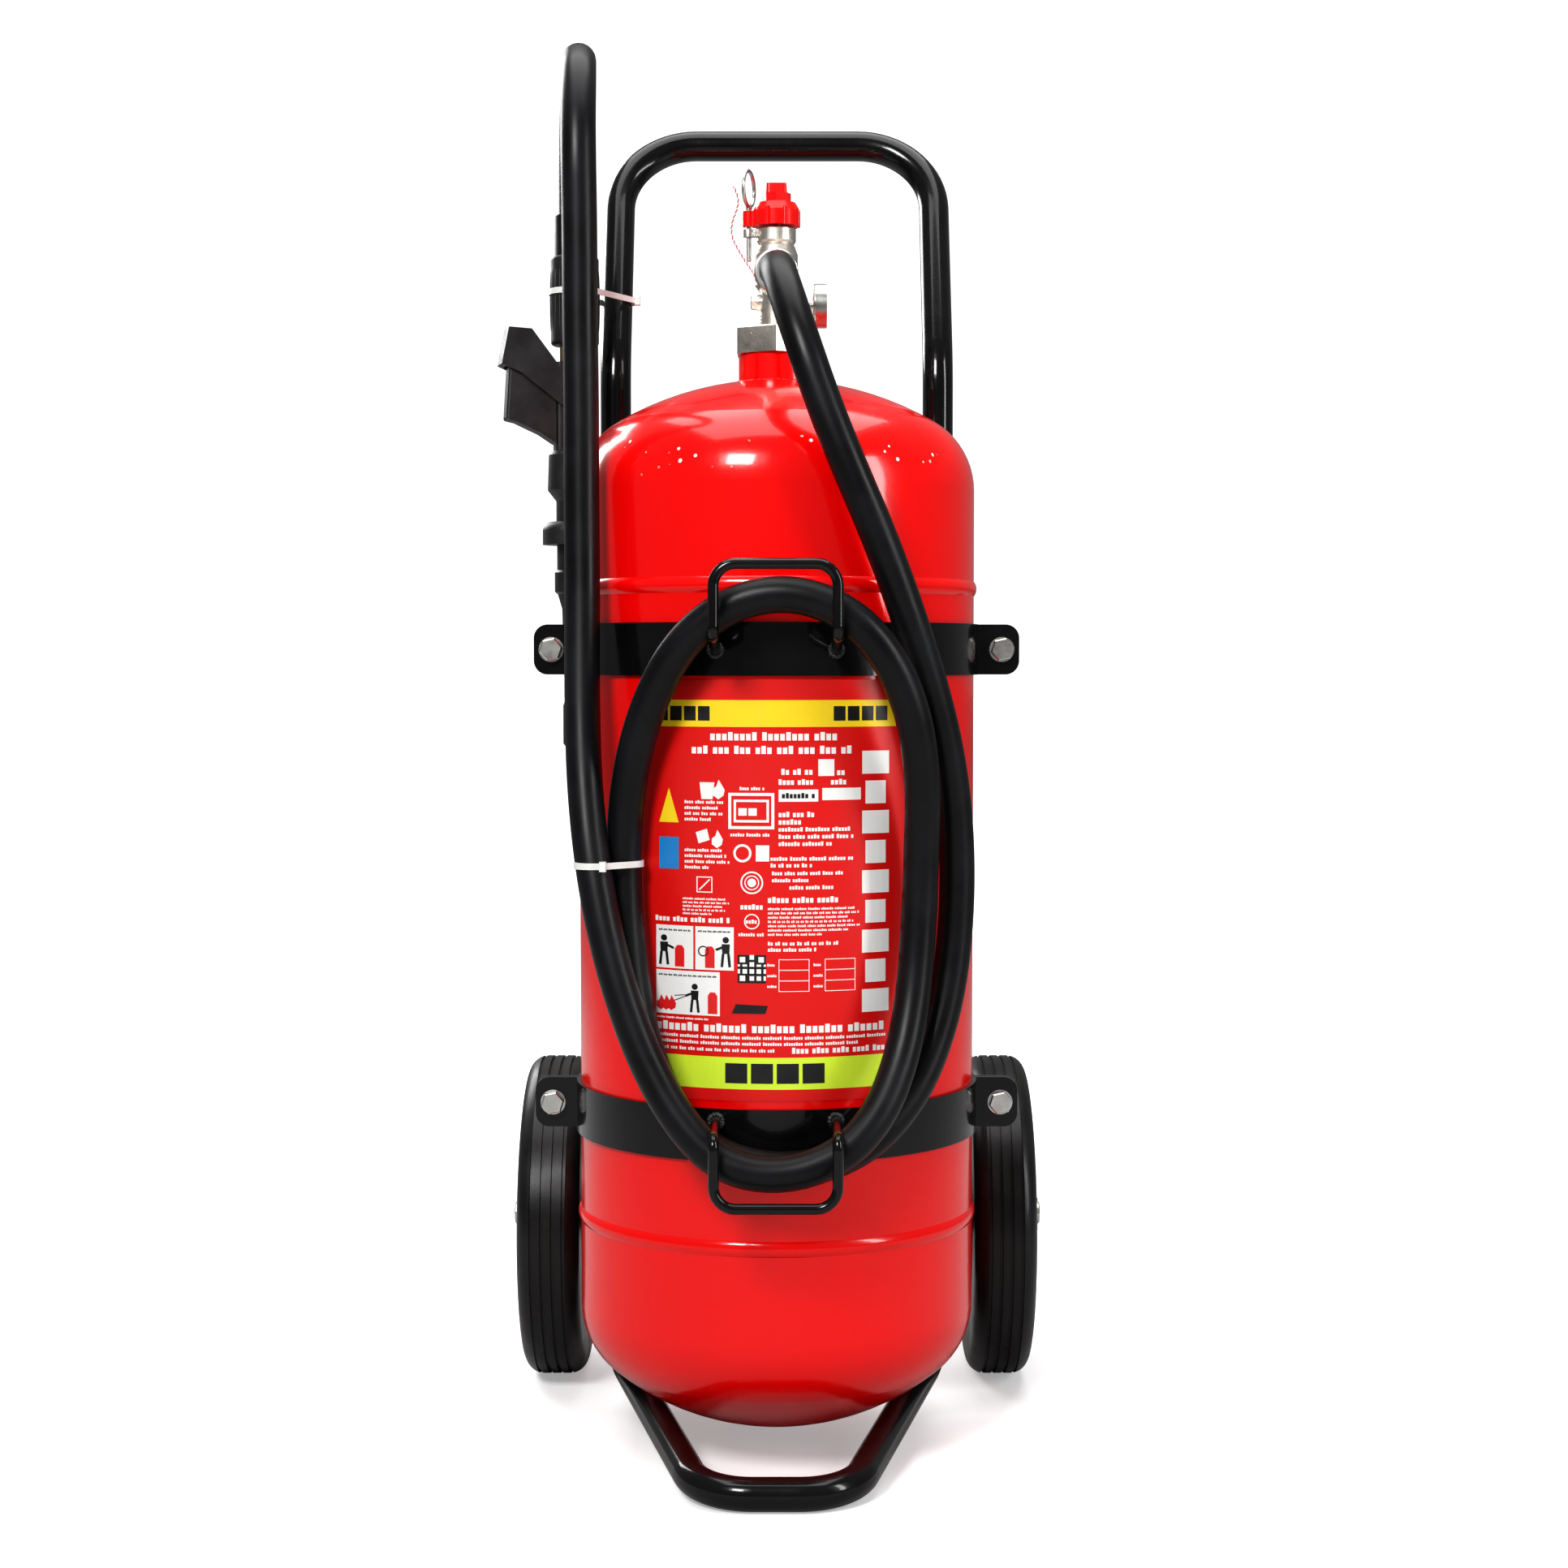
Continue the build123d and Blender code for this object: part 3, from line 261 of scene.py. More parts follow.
hose = route_tube("hose", hose_route, hose_diameter)
hose_line = route_line("hose_line", hose_route)
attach(hose, "root")
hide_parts("discharge_hose")

# Seal cord: a red and a white strand twisted together
strand_turn = 0.0042          # length along the cord of one full turn
strand_sides = 8
twist_steps = 4               # shares of each stretch of the line
seal_line = route_line("seal_guide", seal_route)


def fine_line(line, steps):
    """The line with each of its short stretches divided, for a twist to follow."""
    fine = []
    for before, after in zip(line, line[1:]):
        fine += [before.lerp(after, step / steps) for step in range(steps)]
    return fine + [line[-1]]


def twisted_strands(name, line, radius, turn, colours):
    """Strands wound round a line, each with its own material."""
    strand_radius = radius * 0.5
    vertices, faces, owners = [], [], []
    directions = frames_along(line)
    for strand in range(len(colours)):
        first = len(vertices)
        travelled = 0.0
        for index, place in enumerate(line):
            if index:
                travelled += (place - line[index - 1]).length
            angle = 2 * pi * (travelled / turn + strand / len(colours))
            across, up = directions[index]
            centre = place + (across * cos(angle) + up * sin(angle)) * strand_radius
            for side in range(strand_sides):
                around = 2 * pi * side / strand_sides
                vertices.append(centre + (across * cos(around) + up * sin(around)) * strand_radius)
        new_faces = tube_faces(len(line), strand_sides, first)
        faces += new_faces
        owners += [strand] * len(new_faces)
    piece = mesh_piece(name, vertices, faces)
    for colour in colours:
        piece.data.materials.append(colour)
    for polygon, owner in zip(piece.data.polygons, owners):
        polygon.material_index = owner
    return piece


# =====================================================================================
# Shader groups
# =====================================================================================
class Tree:
    """Short calls for adding and joining nodes in a node tree."""

    def __init__(self, nodes_of):
        self.tree = nodes_of
        self.nodes = nodes_of.nodes
        self.links = nodes_of.links

    def add(self, kind, values=None, **settings):
        node = self.nodes.new(kind)
        for name, value in settings.items():
            setattr(node, name, value)
        for name, value in (values or {}).items():
            self.give(node.inputs[name], value)
        return node

    def give(self, socket, value):
        if isinstance(value, bpy.types.NodeSocket):
            self.links.new(value, socket)
        else:
            socket.default_value = value

    def math(self, operation, a, b=0.0, clamp=False):
        return self.add("ShaderNodeMath", {0: a, 1: b}, operation=operation, use_clamp=clamp).outputs[0]

    def mix(self, factor, a, b, blend_type="MIX"):
        node = self.add("ShaderNodeMix", data_type="RGBA", blend_type=blend_type)
        self.give(node.inputs["Factor"], factor)
        self.give(node.inputs[6], a)
        self.give(node.inputs[7], b)
        return node.outputs[2]

    def ramp(self, value, low, high):
        node = self.add("ShaderNodeMapRange", {"Value": value, "From Min": low, "From Max": high})
        return node.outputs["Result"]

    def noise(self, vector, scale, detail=2.0, roughness=0.5):
        values = {"Vector": vector, "Scale": scale, "Detail": detail, "Roughness": roughness}
        return self.add("ShaderNodeTexNoise", values).outputs["Fac"]

    def stretched(self, vector, scale):
        return self.add("ShaderNodeMapping", {"Vector": vector, "Scale": scale}).outputs["Vector"]


def shader_group(name, inputs, outputs):
    group = bpy.data.node_groups.new(name, "ShaderNodeTree")
    for label, kind, value in inputs:
        socket = group.interface.new_socket(label, in_out="INPUT", socket_type=kind)
        if value is not None:
            socket.default_value = value
    for label, kind in outputs:
        group.interface.new_socket(label, in_out="OUTPUT", socket_type=kind)
    tree = Tree(group)
    source = tree.add("NodeGroupInput").outputs
    sink = tree.add("NodeGroupOutput").inputs
    return group, tree, source, sink


NUMBER = "NodeSocketFloat"
COLOUR = "NodeSocketColor"
VECTOR = "NodeSocketVector"


def make_surface_wear():
    """Patchy tone, fine scuffs and handling marks for any finish."""
    group, tree, source, sink = shader_group(
        "surface_wear",
        [
            ("Vector", VECTOR, None),
            ("Finish", COLOUR, (0.5, 0.5, 0.5, 1)),
            ("Worn", COLOUR, (0.5, 0.5, 0.5, 1)),
            ("Patch Scale", NUMBER, 12.0),
            ("Wear", NUMBER, 0.2),
            ("Smooth", NUMBER, 0.2),
            ("Rough", NUMBER, 0.4),
            ("Grain Scale", NUMBER, 400.0),
            ("Scuffs", NUMBER, 0.3),
        ],
        [("Colour", COLOUR), ("Roughness", NUMBER), ("Height", NUMBER)],
    )
    place = source["Vector"]
    patches = tree.ramp(tree.noise(place, source["Patch Scale"], 4.0, 0.6), 0.35, 0.75)
    grain = tree.noise(place, source["Grain Scale"], 2.0)
    scratch_place = tree.stretched(place, (420.0, 60.0, 90.0))
    scratches = tree.ramp(tree.noise(scratch_place, 1.0, 3.0, 0.7), 0.66, 0.74)
    cross_place = tree.stretched(place, (70.0, 95.0, 520.0))
    cross = tree.ramp(tree.noise(cross_place, 1.0, 3.0, 0.7), 0.68, 0.76)
    marks = tree.math("MULTIPLY", tree.math("MAXIMUM", scratches, cross), source["Scuffs"])
    wear = tree.math("MULTIPLY", patches, source["Wear"])
    toned = tree.mix(wear, source["Finish"], source["Worn"])
    tree.give(sink["Colour"], tree.mix(tree.math("MULTIPLY", marks, 0.35), toned, source["Worn"]))
    spread = tree.math("SUBTRACT", source["Rough"], source["Smooth"])
    amount = tree.math("ADD", tree.math("MULTIPLY", patches, 0.7), marks, clamp=True)
    tree.give(sink["Roughness"], tree.math("ADD", source["Smooth"], tree.math("MULTIPLY", spread, amount)))
    height = tree.math("SUBTRACT", grain, tree.math("MULTIPLY", marks, 0.6))
    tree.give(sink["Height"], height)
    return group


def make_nicks_and_painted_highlight():
    """Small pale spots kept to a band of heights on the front, thickest at its middle: a painted highlight
    broken into chip-like spots.
    """
    group, tree, source, sink = shader_group(
        "nicks_and_painted_highlight",
        [
            ("Vector", VECTOR, None),
            ("Level", NUMBER, 0.8),
            ("Reach", NUMBER, 0.02),
            ("Spot Scale", NUMBER, 90.0),
            ("Share", NUMBER, 0.5),
            ("Front", NUMBER, 0.0),
        ],
        [("Mask", NUMBER)],
    )
    parts = tree.add("ShaderNodeSeparateXYZ", {"Vector": source["Vector"]}).outputs
    height = parts["Z"]
    ahead = tree.math("LESS_THAN", parts["Y"], source["Front"])
    away = tree.math("ABSOLUTE", tree.math("SUBTRACT", height, source["Level"]))
    band = tree.math("SUBTRACT", 1.0, tree.math("DIVIDE", away, source["Reach"]), clamp=True)
    cells = tree.add("ShaderNodeTexVoronoi", {"Vector": source["Vector"], "Scale": source["Spot Scale"]})
    spots = tree.ramp(cells.outputs["Distance"], 0.2, 0.12)
    chance = tree.noise(source["Vector"], 37.0, 1.0)
    kept = tree.ramp(chance, tree.math("SUBTRACT", 1.0, source["Share"]), 1.0)
    mask = tree.math("MULTIPLY", tree.math("MULTIPLY", spots, kept), tree.math("MULTIPLY", band, ahead))
    tree.give(sink["Mask"], tree.ramp(mask, 0.04, 0.1))
    return group


def make_settled_dust():
    """A pale film that lies on faces that look up."""
    group, tree, source, sink = shader_group(
        "settled_dust",
        [
            ("Vector", VECTOR, None),
            ("Facing", VECTOR, None),
            ("Under", COLOUR, (0.5, 0.5, 0.5, 1)),
            ("Dust", COLOUR, (0.45, 0.42, 0.38, 1)),
            ("Amount", NUMBER, 0.2),
            ("Roughness", NUMBER, 0.3),
        ],
        [("Colour", COLOUR), ("Roughness", NUMBER)],
    )
    up = tree.add("ShaderNodeSeparateXYZ", {"Vector": source["Facing"]}).outputs["Z"]
    flat = tree.ramp(up, 0.25, 1.0)
    cloud = tree.ramp(tree.noise(source["Vector"], 26.0, 5.0, 0.65), 0.35, 0.8)
    film = tree.math("MULTIPLY", tree.math("MULTIPLY", flat, cloud), source["Amount"])
    tree.give(sink["Colour"], tree.mix(film, source["Under"], source["Dust"]))
    duller = tree.math("MULTIPLY", film, 0.6)
    tree.give(sink["Roughness"], tree.math("ADD", source["Roughness"], duller, clamp=True))
    return group


surface_wear = make_surface_wear()
nicks_and_painted_highlight = make_nicks_and_painted_highlight()
settled_dust = make_settled_dust()


# =====================================================================================
# Materials
# =====================================================================================
def rgb(red, green, blue):
    return (red, green, blue, 1.0)


def new_material(name):
    material = bpy.data.materials.new(name)
    material.use_nodes = True
    tree = Tree(material.node_tree)
    shader = tree.nodes["Principled BSDF"]
    return material, tree, shader


def grouped(tree, group, values):
    node = tree.add("ShaderNodeGroup", node_tree=group)
    for name, value in values.items():
        tree.give(node.inputs[name], value)
    return node.outputs


def finish_material(
    name,
    finish,
    worn,
    smooth,
    rough,
    metallic=0.0,
    patch_scale=12.0,
    wear=0.25,
    grain_scale=500.0,
    scuffs=0.3,
    relief=0.00002,
    dust=0.15,
    coat=0.0,
    coat_roughness=0.05,
    sheen=0.0,
    specular=0.5,
    nicks=None,
):
    """One finish: worn colour, settled dust, and a fine relief."""
    material, tree, shader = new_material(name)
    place = tree.add("ShaderNodeTexCoord").outputs["Object"]
    facing = tree.add("ShaderNodeNewGeometry").outputs["Normal"]
    worn_out = grouped(
        tree,
        surface_wear,
        {
            "Vector": place,
            "Finish": finish,
            "Worn": worn,
            "Patch Scale": patch_scale,
            "Wear": wear,
            "Smooth": smooth,
            "Rough": rough,
            "Grain Scale": grain_scale,
            "Scuffs": scuffs,
        },
    )
    colour = worn_out["Colour"]
    height = worn_out["Height"]
    # Optional pale spots: their colour is a painted highlight, and their dents go into the relief.
    if nicks:
        painted_highlight_colour, level, reach, spot_scale, share, front = nicks
        mask = grouped(
            tree,
            nicks_and_painted_highlight,
            {
                "Vector": place,
                "Level": level,
                "Reach": reach,
                "Spot Scale": spot_scale,
                "Share": share,
                "Front": front,
            },
        )["Mask"]
        colour = tree.mix(mask, colour, painted_highlight_colour)
        height = tree.math("SUBTRACT", height, tree.math("MULTIPLY", mask, 3.0))
    dusty = grouped(
        tree,
        settled_dust,
        {
            "Vector": place,
            "Facing": facing,
            "Under": colour,
            "Amount": dust,
            "Roughness": worn_out["Roughness"],
        },
    )
    tree.give(shader.inputs["Base Color"], dusty["Colour"])
    tree.give(shader.inputs["Roughness"], dusty["Roughness"])
    shader.inputs["Metallic"].default_value = metallic
    shader.inputs["Specular IOR Level"].default_value = specular
    shader.inputs["Coat Weight"].default_value = coat
    shader.inputs["Coat Roughness"].default_value = coat_roughness
    shader.inputs["Sheen Weight"].default_value = sheen
    bump = tree.add("ShaderNodeBump", {"Height": height, "Distance": relief, "Strength": 1.0})
    tree.give(shader.inputs["Normal"], bump.outputs["Normal"])
    return material


finishes = {
    "red_paint": finish_material(
        "red_enamel",
        rgb(0.88, 0.001, 0.001),
        rgb(0.66, 0.001, 0.001),
        0.16,
        0.30,
        patch_scale=5.0,
        wear=0.22,
        grain_scale=210.0,
        scuffs=0.12,
        relief=0.00006,
        dust=0.03,
        coat=0.35,
        coat_roughness=0.07,
        specular=0.3,
        # Pale spots on the dome's front: a painted highlight, with small dents in the relief.
        nicks=(rgb(0.95, 0.85, 0.82), tank_high.z - 0.062, 0.022, 105.0, 0.60, tank_y - 0.09),
    ),
    "wheel_red": finish_material(
        "rim_enamel",
        rgb(0.62, 0.006, 0.005),
        rgb(0.30, 0.01, 0.008),
        0.25,
        0.5,
        patch_scale=22.0,
        wear=0.5,
        grain_scale=420.0,
        scuffs=0.5,
        relief=0.00008,
        dust=0.35,
        coat=0.3,
    ),
    "black_paint": finish_material(
        "black_enamel",
        rgb(0.003, 0.003, 0.003),
        rgb(0.010, 0.010, 0.011),
        0.14,
        0.34,
        patch_scale=16.0,
        wear=0.5,
        grain_scale=330.0,
        scuffs=0.5,
        relief=0.00005,
        dust=0.015,
        coat=0.4,
        coat_roughness=0.06,
        specular=0.2,
    ),
    "cast_nickel": finish_material(
        "cast_nickel",
        rgb(0.92, 0.88, 0.80),
        rgb(0.62, 0.56, 0.47),
        0.24,
        0.5,
        metallic=1.0,
        patch_scale=45.0,
        wear=0.55,
        grain_scale=900.0,
        scuffs=0.5,
        relief=0.00016,
        dust=0.2,
    ),
    "bright_steel": finish_material(
        "bright_steel",
        rgb(0.62, 0.61, 0.58),
        rgb(0.40, 0.39, 0.36),
        0.24,
        0.42,
        metallic=1.0,
        patch_scale=60.0,
        wear=0.4,
        grain_scale=1500.0,
        scuffs=0.6,
        relief=0.00002,
        dust=0.1,
    ),
    "zinc_steel": finish_material(
        "zinc_plate",
        rgb(0.72, 0.72, 0.70),
        rgb(0.50, 0.48, 0.42),
        0.22,
        0.46,
        metallic=1.0,
        patch_scale=70.0,
        wear=0.6,
        grain_scale=1300.0,
        scuffs=0.6,
        relief=0.00004,
        dust=0.2,
    ),
    "brass": finish_material(
        "turned_brass",
        rgb(0.74, 0.60, 0.38),
        rgb(0.42, 0.32, 0.18),
        0.25,
        0.5,
        metallic=1.0,
        patch_scale=60.0,
        wear=0.5,
        grain_scale=1100.0,
        scuffs=0.5,
        relief=0.00004,
    ),
    "spring_steel": finish_material(
        "oiled_spring",
        rgb(0.36, 0.36, 0.38),
        rgb(0.16, 0.14, 0.12),
        0.25,
        0.5,
        metallic=1.0,
        patch_scale=90.0,
        wear=0.5,
        grain_scale=1500.0,
    ),
    "red_plastic": finish_material(
        "knob_plastic",
        rgb(0.84, 0.003, 0.003),
        rgb(0.62, 0.003, 0.003),
        0.2,
        0.36,
        patch_scale=60.0,
        wear=0.35,
        grain_scale=1400.0,
        scuffs=0.4,
        relief=0.00003,
        dust=0.02,
        coat=0.2,
        coat_roughness=0.12,
        specular=0.3,
    ),
    "black_plastic": finish_material(
        "gun_plastic",
        rgb(0.009, 0.009, 0.010),
        rgb(0.030, 0.030, 0.032),
        0.38,
        0.58,
        patch_scale=40.0,
        wear=0.5,
        grain_scale=2100.0,
        scuffs=0.4,
        relief=0.00007,
        dust=0.1,
    ),
    "hose_rubber": finish_material(
        "hose_rubber",
        rgb(0.004, 0.004, 0.005),
        rgb(0.014, 0.015, 0.017),
        0.32,
        0.5,
        patch_scale=18.0,
        wear=0.55,
        grain_scale=1700.0,
        scuffs=0.5,
        relief=0.00005,
        dust=0.02,
        specular=0.25,
    ),
    "tyre_rubber": finish_material(
        "tyre_rubber",
        rgb(0.005, 0.005, 0.005),
        rgb(0.018, 0.017, 0.016),
        0.32,
        0.58,
        patch_scale=24.0,
        wear=0.6,
        grain_scale=1300.0,
        scuffs=0.6,
        relief=0.00010,
        dust=0.05,
        specular=0.3,
        coat=0.15,
        coat_roughness=0.2,
    ),
    "white_nylon": finish_material(
        "white_nylon",
        rgb(0.84, 0.84, 0.82),
        rgb(0.66, 0.65, 0.60),
        0.3,
        0.5,
        patch_scale=70.0,
        wear=0.4,
        grain_scale=1500.0,
        dust=0.1,
    ),
    "label_print": finish_material(
        "label_film",
        rgb(0.74, 0.008, 0.006),
        rgb(0.62, 0.006, 0.006),
        0.3,
        0.5,
        patch_scale=16.0,
        wear=0.35,
        grain_scale=800.0,
        scuffs=0.2,
        relief=0.00002,
        dust=0.05,
    ),
    "dial_white": finish_material(
        "dial_face",
        rgb(0.88, 0.88, 0.85),
        rgb(0.74, 0.72, 0.66),
        0.4,
        0.6,
        patch_scale=90.0,
        wear=0.4,
        grain_scale=1900.0,
    ),
    "needle_black": finish_material(
        "needle_black",
        rgb(0.012, 0.012, 0.012),
        rgb(0.04, 0.04, 0.04),
        0.4,
        0.6,
        patch_scale=120.0,
        wear=0.4,
        grain_scale=1900.0,
    ),
}


def print_ink(name, ink, worn):
    """Printed ink, a little uneven, on the panel's film."""
    return finish_material(
        name, ink, worn, 0.32, 0.5, patch_scale=60.0, wear=0.35, grain_scale=1500.0, scuffs=0.15, dust=0.04
    )


white_ink = print_ink("white_ink", rgb(0.93, 0.92, 0.90), rgb(0.84, 0.80, 0.78))
yellow_ink = print_ink("yellow_ink", rgb(0.97, 0.70, 0.02), rgb(0.88, 0.58, 0.02))
lime_ink = print_ink("lime_ink", rgb(0.72, 0.93, 0.05), rgb(0.60, 0.80, 0.05))
black_ink = print_ink("black_ink", rgb(0.010, 0.010, 0.010), rgb(0.03, 0.03, 0.03))
blue_ink = print_ink("blue_ink", rgb(0.02, 0.25, 0.62), rgb(0.03, 0.22, 0.50))
red_ink = print_ink("red_ink", rgb(0.78, 0.02, 0.02), rgb(0.60, 0.02, 0.02))
green_ink = print_ink("green_ink", rgb(0.03, 0.45, 0.08), rgb(0.04, 0.36, 0.08))

lens_material, lens_tree, lens_shader = new_material("clear_lens")
lens_place = lens_tree.add("ShaderNodeTexCoord").outputs["Object"]
lens_marks = lens_tree.noise(lens_place, 260.0, 3.0)
lens_tree.give(lens_shader.inputs["Roughness"], lens_tree.ramp(lens_marks, -0.4, 3.0))
lens_shader.inputs["Base Color"].default_value = rgb(0.97, 0.99, 0.99)
lens_shader.inputs["Transmission Weight"].default_value = 1.0
lens_shader.inputs["IOR"].default_value = 1.46
finishes["clear_lens"] = lens_material

weld_steel = finish_material(
    "weld_metal",
    rgb(0.012, 0.012, 0.013),
    rgb(0.05, 0.045, 0.04),
    0.3,
    0.55,
    patch_scale=120.0,
    wear=0.6,
    grain_scale=1600.0,
    relief=0.0001,
    coat=0.4,
)
red_twine = finish_material(
    "red_strand", rgb(0.55, 0.008, 0.008), rgb(0.4, 0.008, 0.008), 0.6, 0.8, grain_scale=2600.0, sheen=0.3
)
white_twine = finish_material(
    "white_strand", rgb(0.85, 0.82, 0.80), rgb(0.7, 0.62, 0.6), 0.6, 0.8, grain_scale=2600.0, sheen=0.3
)

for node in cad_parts.values():
    for index, material in enumerate(node.data.materials):
        slot_name = material.name.split(".")[0]
        if slot_name in finishes:
            node.data.materials[index] = finishes[slot_name]
hose.data.materials.append(finishes["hose_rubber"])

seal = twisted_strands(
    "seal_twine",
    fine_line(seal_line, twist_steps),
    seal_diameter / 2,
    strand_turn,
    [red_twine, white_twine],
)
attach(seal, "root")
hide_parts("seal_cord")


# =====================================================================================
# Front panel: plain shapes laid on the film, measured across the tank and up from the panel's foot
# =====================================================================================
panel_foot = label_low.z
film_face = tank_radius + label_film
ink_step = 0.00012            # how far one layer of ink stands over the one below
column_width = 0.006          # widest flat stretch of a bar before it turns with the tank
slice_width = 0.002           # the same for any other shape
letter_gap = 0.17             # shares of a letter's height
low_letter = 0.8
word_gap = 0.5
last_row = 0.35               # share of a paragraph's width that its last row leaves blank
row_trim = 0.06               # step by which the other rows differ in length


class Ink:
    """Thin printed shapes of one colour, wrapped round the tank's front."""

    def __init__(self, name, material, layer):
        self.name = name
        self.material = material
        self.outer = film_face + ink_step * layer
        self.inner = film_face - ink_step
        self.vertices = []
        self.faces = []

    def wrapped(self, x, z, radius):
        return (x, tank_y - sqrt(radius * radius - x * x), panel_foot + z)

    def outline(self, points):
        """A filled flat shape, laid in upright slices so that it keeps to the curve."""
        left = min(x for x, z in points)
        right = max(x for x, z in points)
        inset = (right - left) * 0.002
        slices = max(2, int((right - left) / slice_width) + 1)
        places = [left + inset + (right - left - 2 * inset) * i / slices for i in range(slices + 1)]
        places = sorted(places + [x for x, z in points if left + inset < x < right - inset])
        low, high = [], []
        for x in places:
            crossings = []
            for (x0, z0), (x1, z1) in zip(points, points[1:] + points[:1]):
                if min(x0, x1) <= x <= max(x0, x1):
                    share = (x - x0) / (x1 - x0) if x1 != x0 else 0.0
                    crossings += [z0 + (z1 - z0) * share]
            low.append((x, min(crossings)))
            high.append((x, max(crossings)))
        self.strip(low, high)

    def strip(self, low, high):
        """A band between two rows of points that share their places across, left to right."""
        count = len(low)
        first = len(self.vertices)
        for radius in (self.outer, self.inner):
            for row in (low, high):
                self.vertices += [self.wrapped(x, z, radius) for x, z in row]
        a, b, c, d = (first + count * k for k in range(4))
        for i in range(count - 1):
            self.faces.append((a + i, a + i + 1, b + i + 1, b + i))
            self.faces.append((c + i, d + i, d + i + 1, c + i + 1))
            self.faces.append((a + i, c + i, c + i + 1, a + i + 1))
            self.faces.append((b + i, b + i + 1, d + i + 1, d + i))
        self.faces.append((a, b, d, c))
        end = count - 1
        self.faces.append((a + end, c + end, d + end, b + end))

    def bar(self, x0, x1, z0, z1):
        """A filled rectangle."""
        columns = max(1, int((x1 - x0) / column_width) + 1)
        places = [x0 + (x1 - x0) * i / columns for i in range(columns + 1)]
        self.strip([(x, z0) for x in places], [(x, z1) for x in places])

    def frame(self, x0, x1, z0, z1, line):
        """The four sides of a rectangle, as lines of even width."""
        self.bar(x0, x1, z0, z0 + line)
        self.bar(x0, x1, z1 - line, z1)
        self.bar(x0, x0 + line, z0 + line, z1 - line)
        self.bar(x1 - line, x1, z0 + line, z1 - line)

    def disc(self, x, z, radius, sides=24):
        turn = 2 * pi / sides
        self.outline([(x + radius * cos(turn * i), z + radius * sin(turn * i)) for i in range(sides)])

    def ring(self, x, z, radius, line, sides=32):
        turn = 2 * pi / sides
        for i in range(sides):
            ends = []
            for r in (radius - line, radius):
                ends.append([(x + r * cos(turn * k), z + r * sin(turn * k)) for k in (i, i + 1)])
            inner_row, outer_row = ends
            self.outline([inner_row[0], outer_row[0], outer_row[1], inner_row[1]])

    def stroke(self, x0, z0, x1, z1, line):
        """A straight bar of even width between two places."""
        along = Vector((x1 - x0, z1 - z0)).normalized()
        side = Vector((-along.y, along.x)) * line / 2
        self.outline(
            [
                (x0 - side.x, z0 - side.y),
                (x1 - side.x, z1 - side.y),
                (x1 + side.x, z1 + side.y),
                (x0 + side.x, z0 + side.y),
            ]
        )

    def words(self, x0, x1, z0, z1, seed, letter=0.55):
        """A line of blank letter-sized blocks in groups, as print reads from across a room."""
        height = z1 - z0
        wide = height * letter
        gap = height * letter_gap
        place, word = x0, seed
        while place < x1 - wide:
            word += 1
            for index in range(2 + (word * 7 + seed * 3) % 7):
                if place > x1 - wide:
                    break
                tall = height if (word * 3 + index * 5) % 4 == 0 else height * low_letter
                self.bar(place, place + wide, z0, z0 + tall)
                place += wide + gap
            place += height * word_gap

    def paragraph(self, x0, x1, z_top, rows, height, gap, seed):
        """Rows of such blocks, uneven on the right and short at the end."""
        for row in range(rows):
            top = z_top - row * (height + gap)
            short = 0.0 if row < rows - 1 else (x1 - x0) * last_row
            trim = (x1 - x0) * row_trim * ((seed + row * 5) % 3)
            self.words(x0, x1 - short - trim, top - height, top, seed + row)

    def shape(self, x, z, size, points):
        """A small outline given as shares of its size, laid about a place."""
        self.outline([(x + a * size, z + b * size) for a, b in points])

    def flame(self, x, z, size):
        """A small plain flame: a drop with one lick beside it."""
        drop = [(0, -0.5), (0.28, -0.3), (0.34, 0.0), (0.2, 0.25), (0.02, 0.55), (-0.1, 0.2)]
        drop += [(-0.3, 0.05), (-0.3, -0.28)]
        self.shape(x, z, size, drop)

    def bin_shape(self, x, z, size):
        """A plain waste basket."""
        self.shape(x, z, size, [(-0.3, -0.5), (0.3, -0.5), (0.4, 0.4), (-0.4, 0.4)])

    def can_shape(self, x, z, size):
        """A plain tilted can, pouring."""
        can = [(-0.35, -0.45), (0.25, -0.25), (0.1, 0.35), (-0.5, 0.15)]
        self.shape(x, z, size, can)

    def person(self, x, z, size, facing=1):
        """A plain standing figure with one arm held out."""
        self.disc(x, z + size * 0.42, size * 0.11, 14)
        self.shape(x, z, size, [(-0.12, -0.05), (0.12, -0.05), (0.14, 0.28), (-0.14, 0.28)])
        for leg in (-0.09, 0.09):
            self.stroke(x + leg * size, z - size * 0.05, x + leg * size * 1.5, z - size * 0.5, size * 0.09)
        self.stroke(x, z + size * 0.22, x + facing * size * 0.34, z + size * 0.08, size * 0.08)

    def small_tank(self, x, z, size):
        """A plain upright cylinder with a rounded head."""
        body = [(-0.2, -0.5), (0.2, -0.5), (0.2, 0.25), (0.1, 0.4), (-0.1, 0.4), (-0.2, 0.25)]
        self.shape(x, z, size, body)

    def finished(self):
        piece = mesh_piece(self.name, self.vertices, self.faces, smooth=False)
        piece.data.materials.append(self.material)
        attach(piece, "root")
        return piece


yellow = Ink("panel_yellow", yellow_ink, 1)
lime = Ink("panel_lime", lime_ink, 1)
white = Ink("panel_white", white_ink, 1)
blue = Ink("panel_blue", blue_ink, 1)
black = Ink("panel_black", black_ink, 2)
red = Ink("panel_red", red_ink, 2)
edge = (label_high.x - label_low.x) / 2 - label_film

# Stripes at the head and foot, with blank title blocks on them
yellow.bar(-edge, edge, 0.280, 0.300)
lime.bar(-edge, edge, 0.009, 0.033)


def title_blocks(ink, x0, letters, width, z0, z1, gap):
    """Blank letter-sized blocks in a row."""
    for index in range(letters):
        left = x0 + index * (width + gap)
        ink.bar(left, left + width, z0, z1)


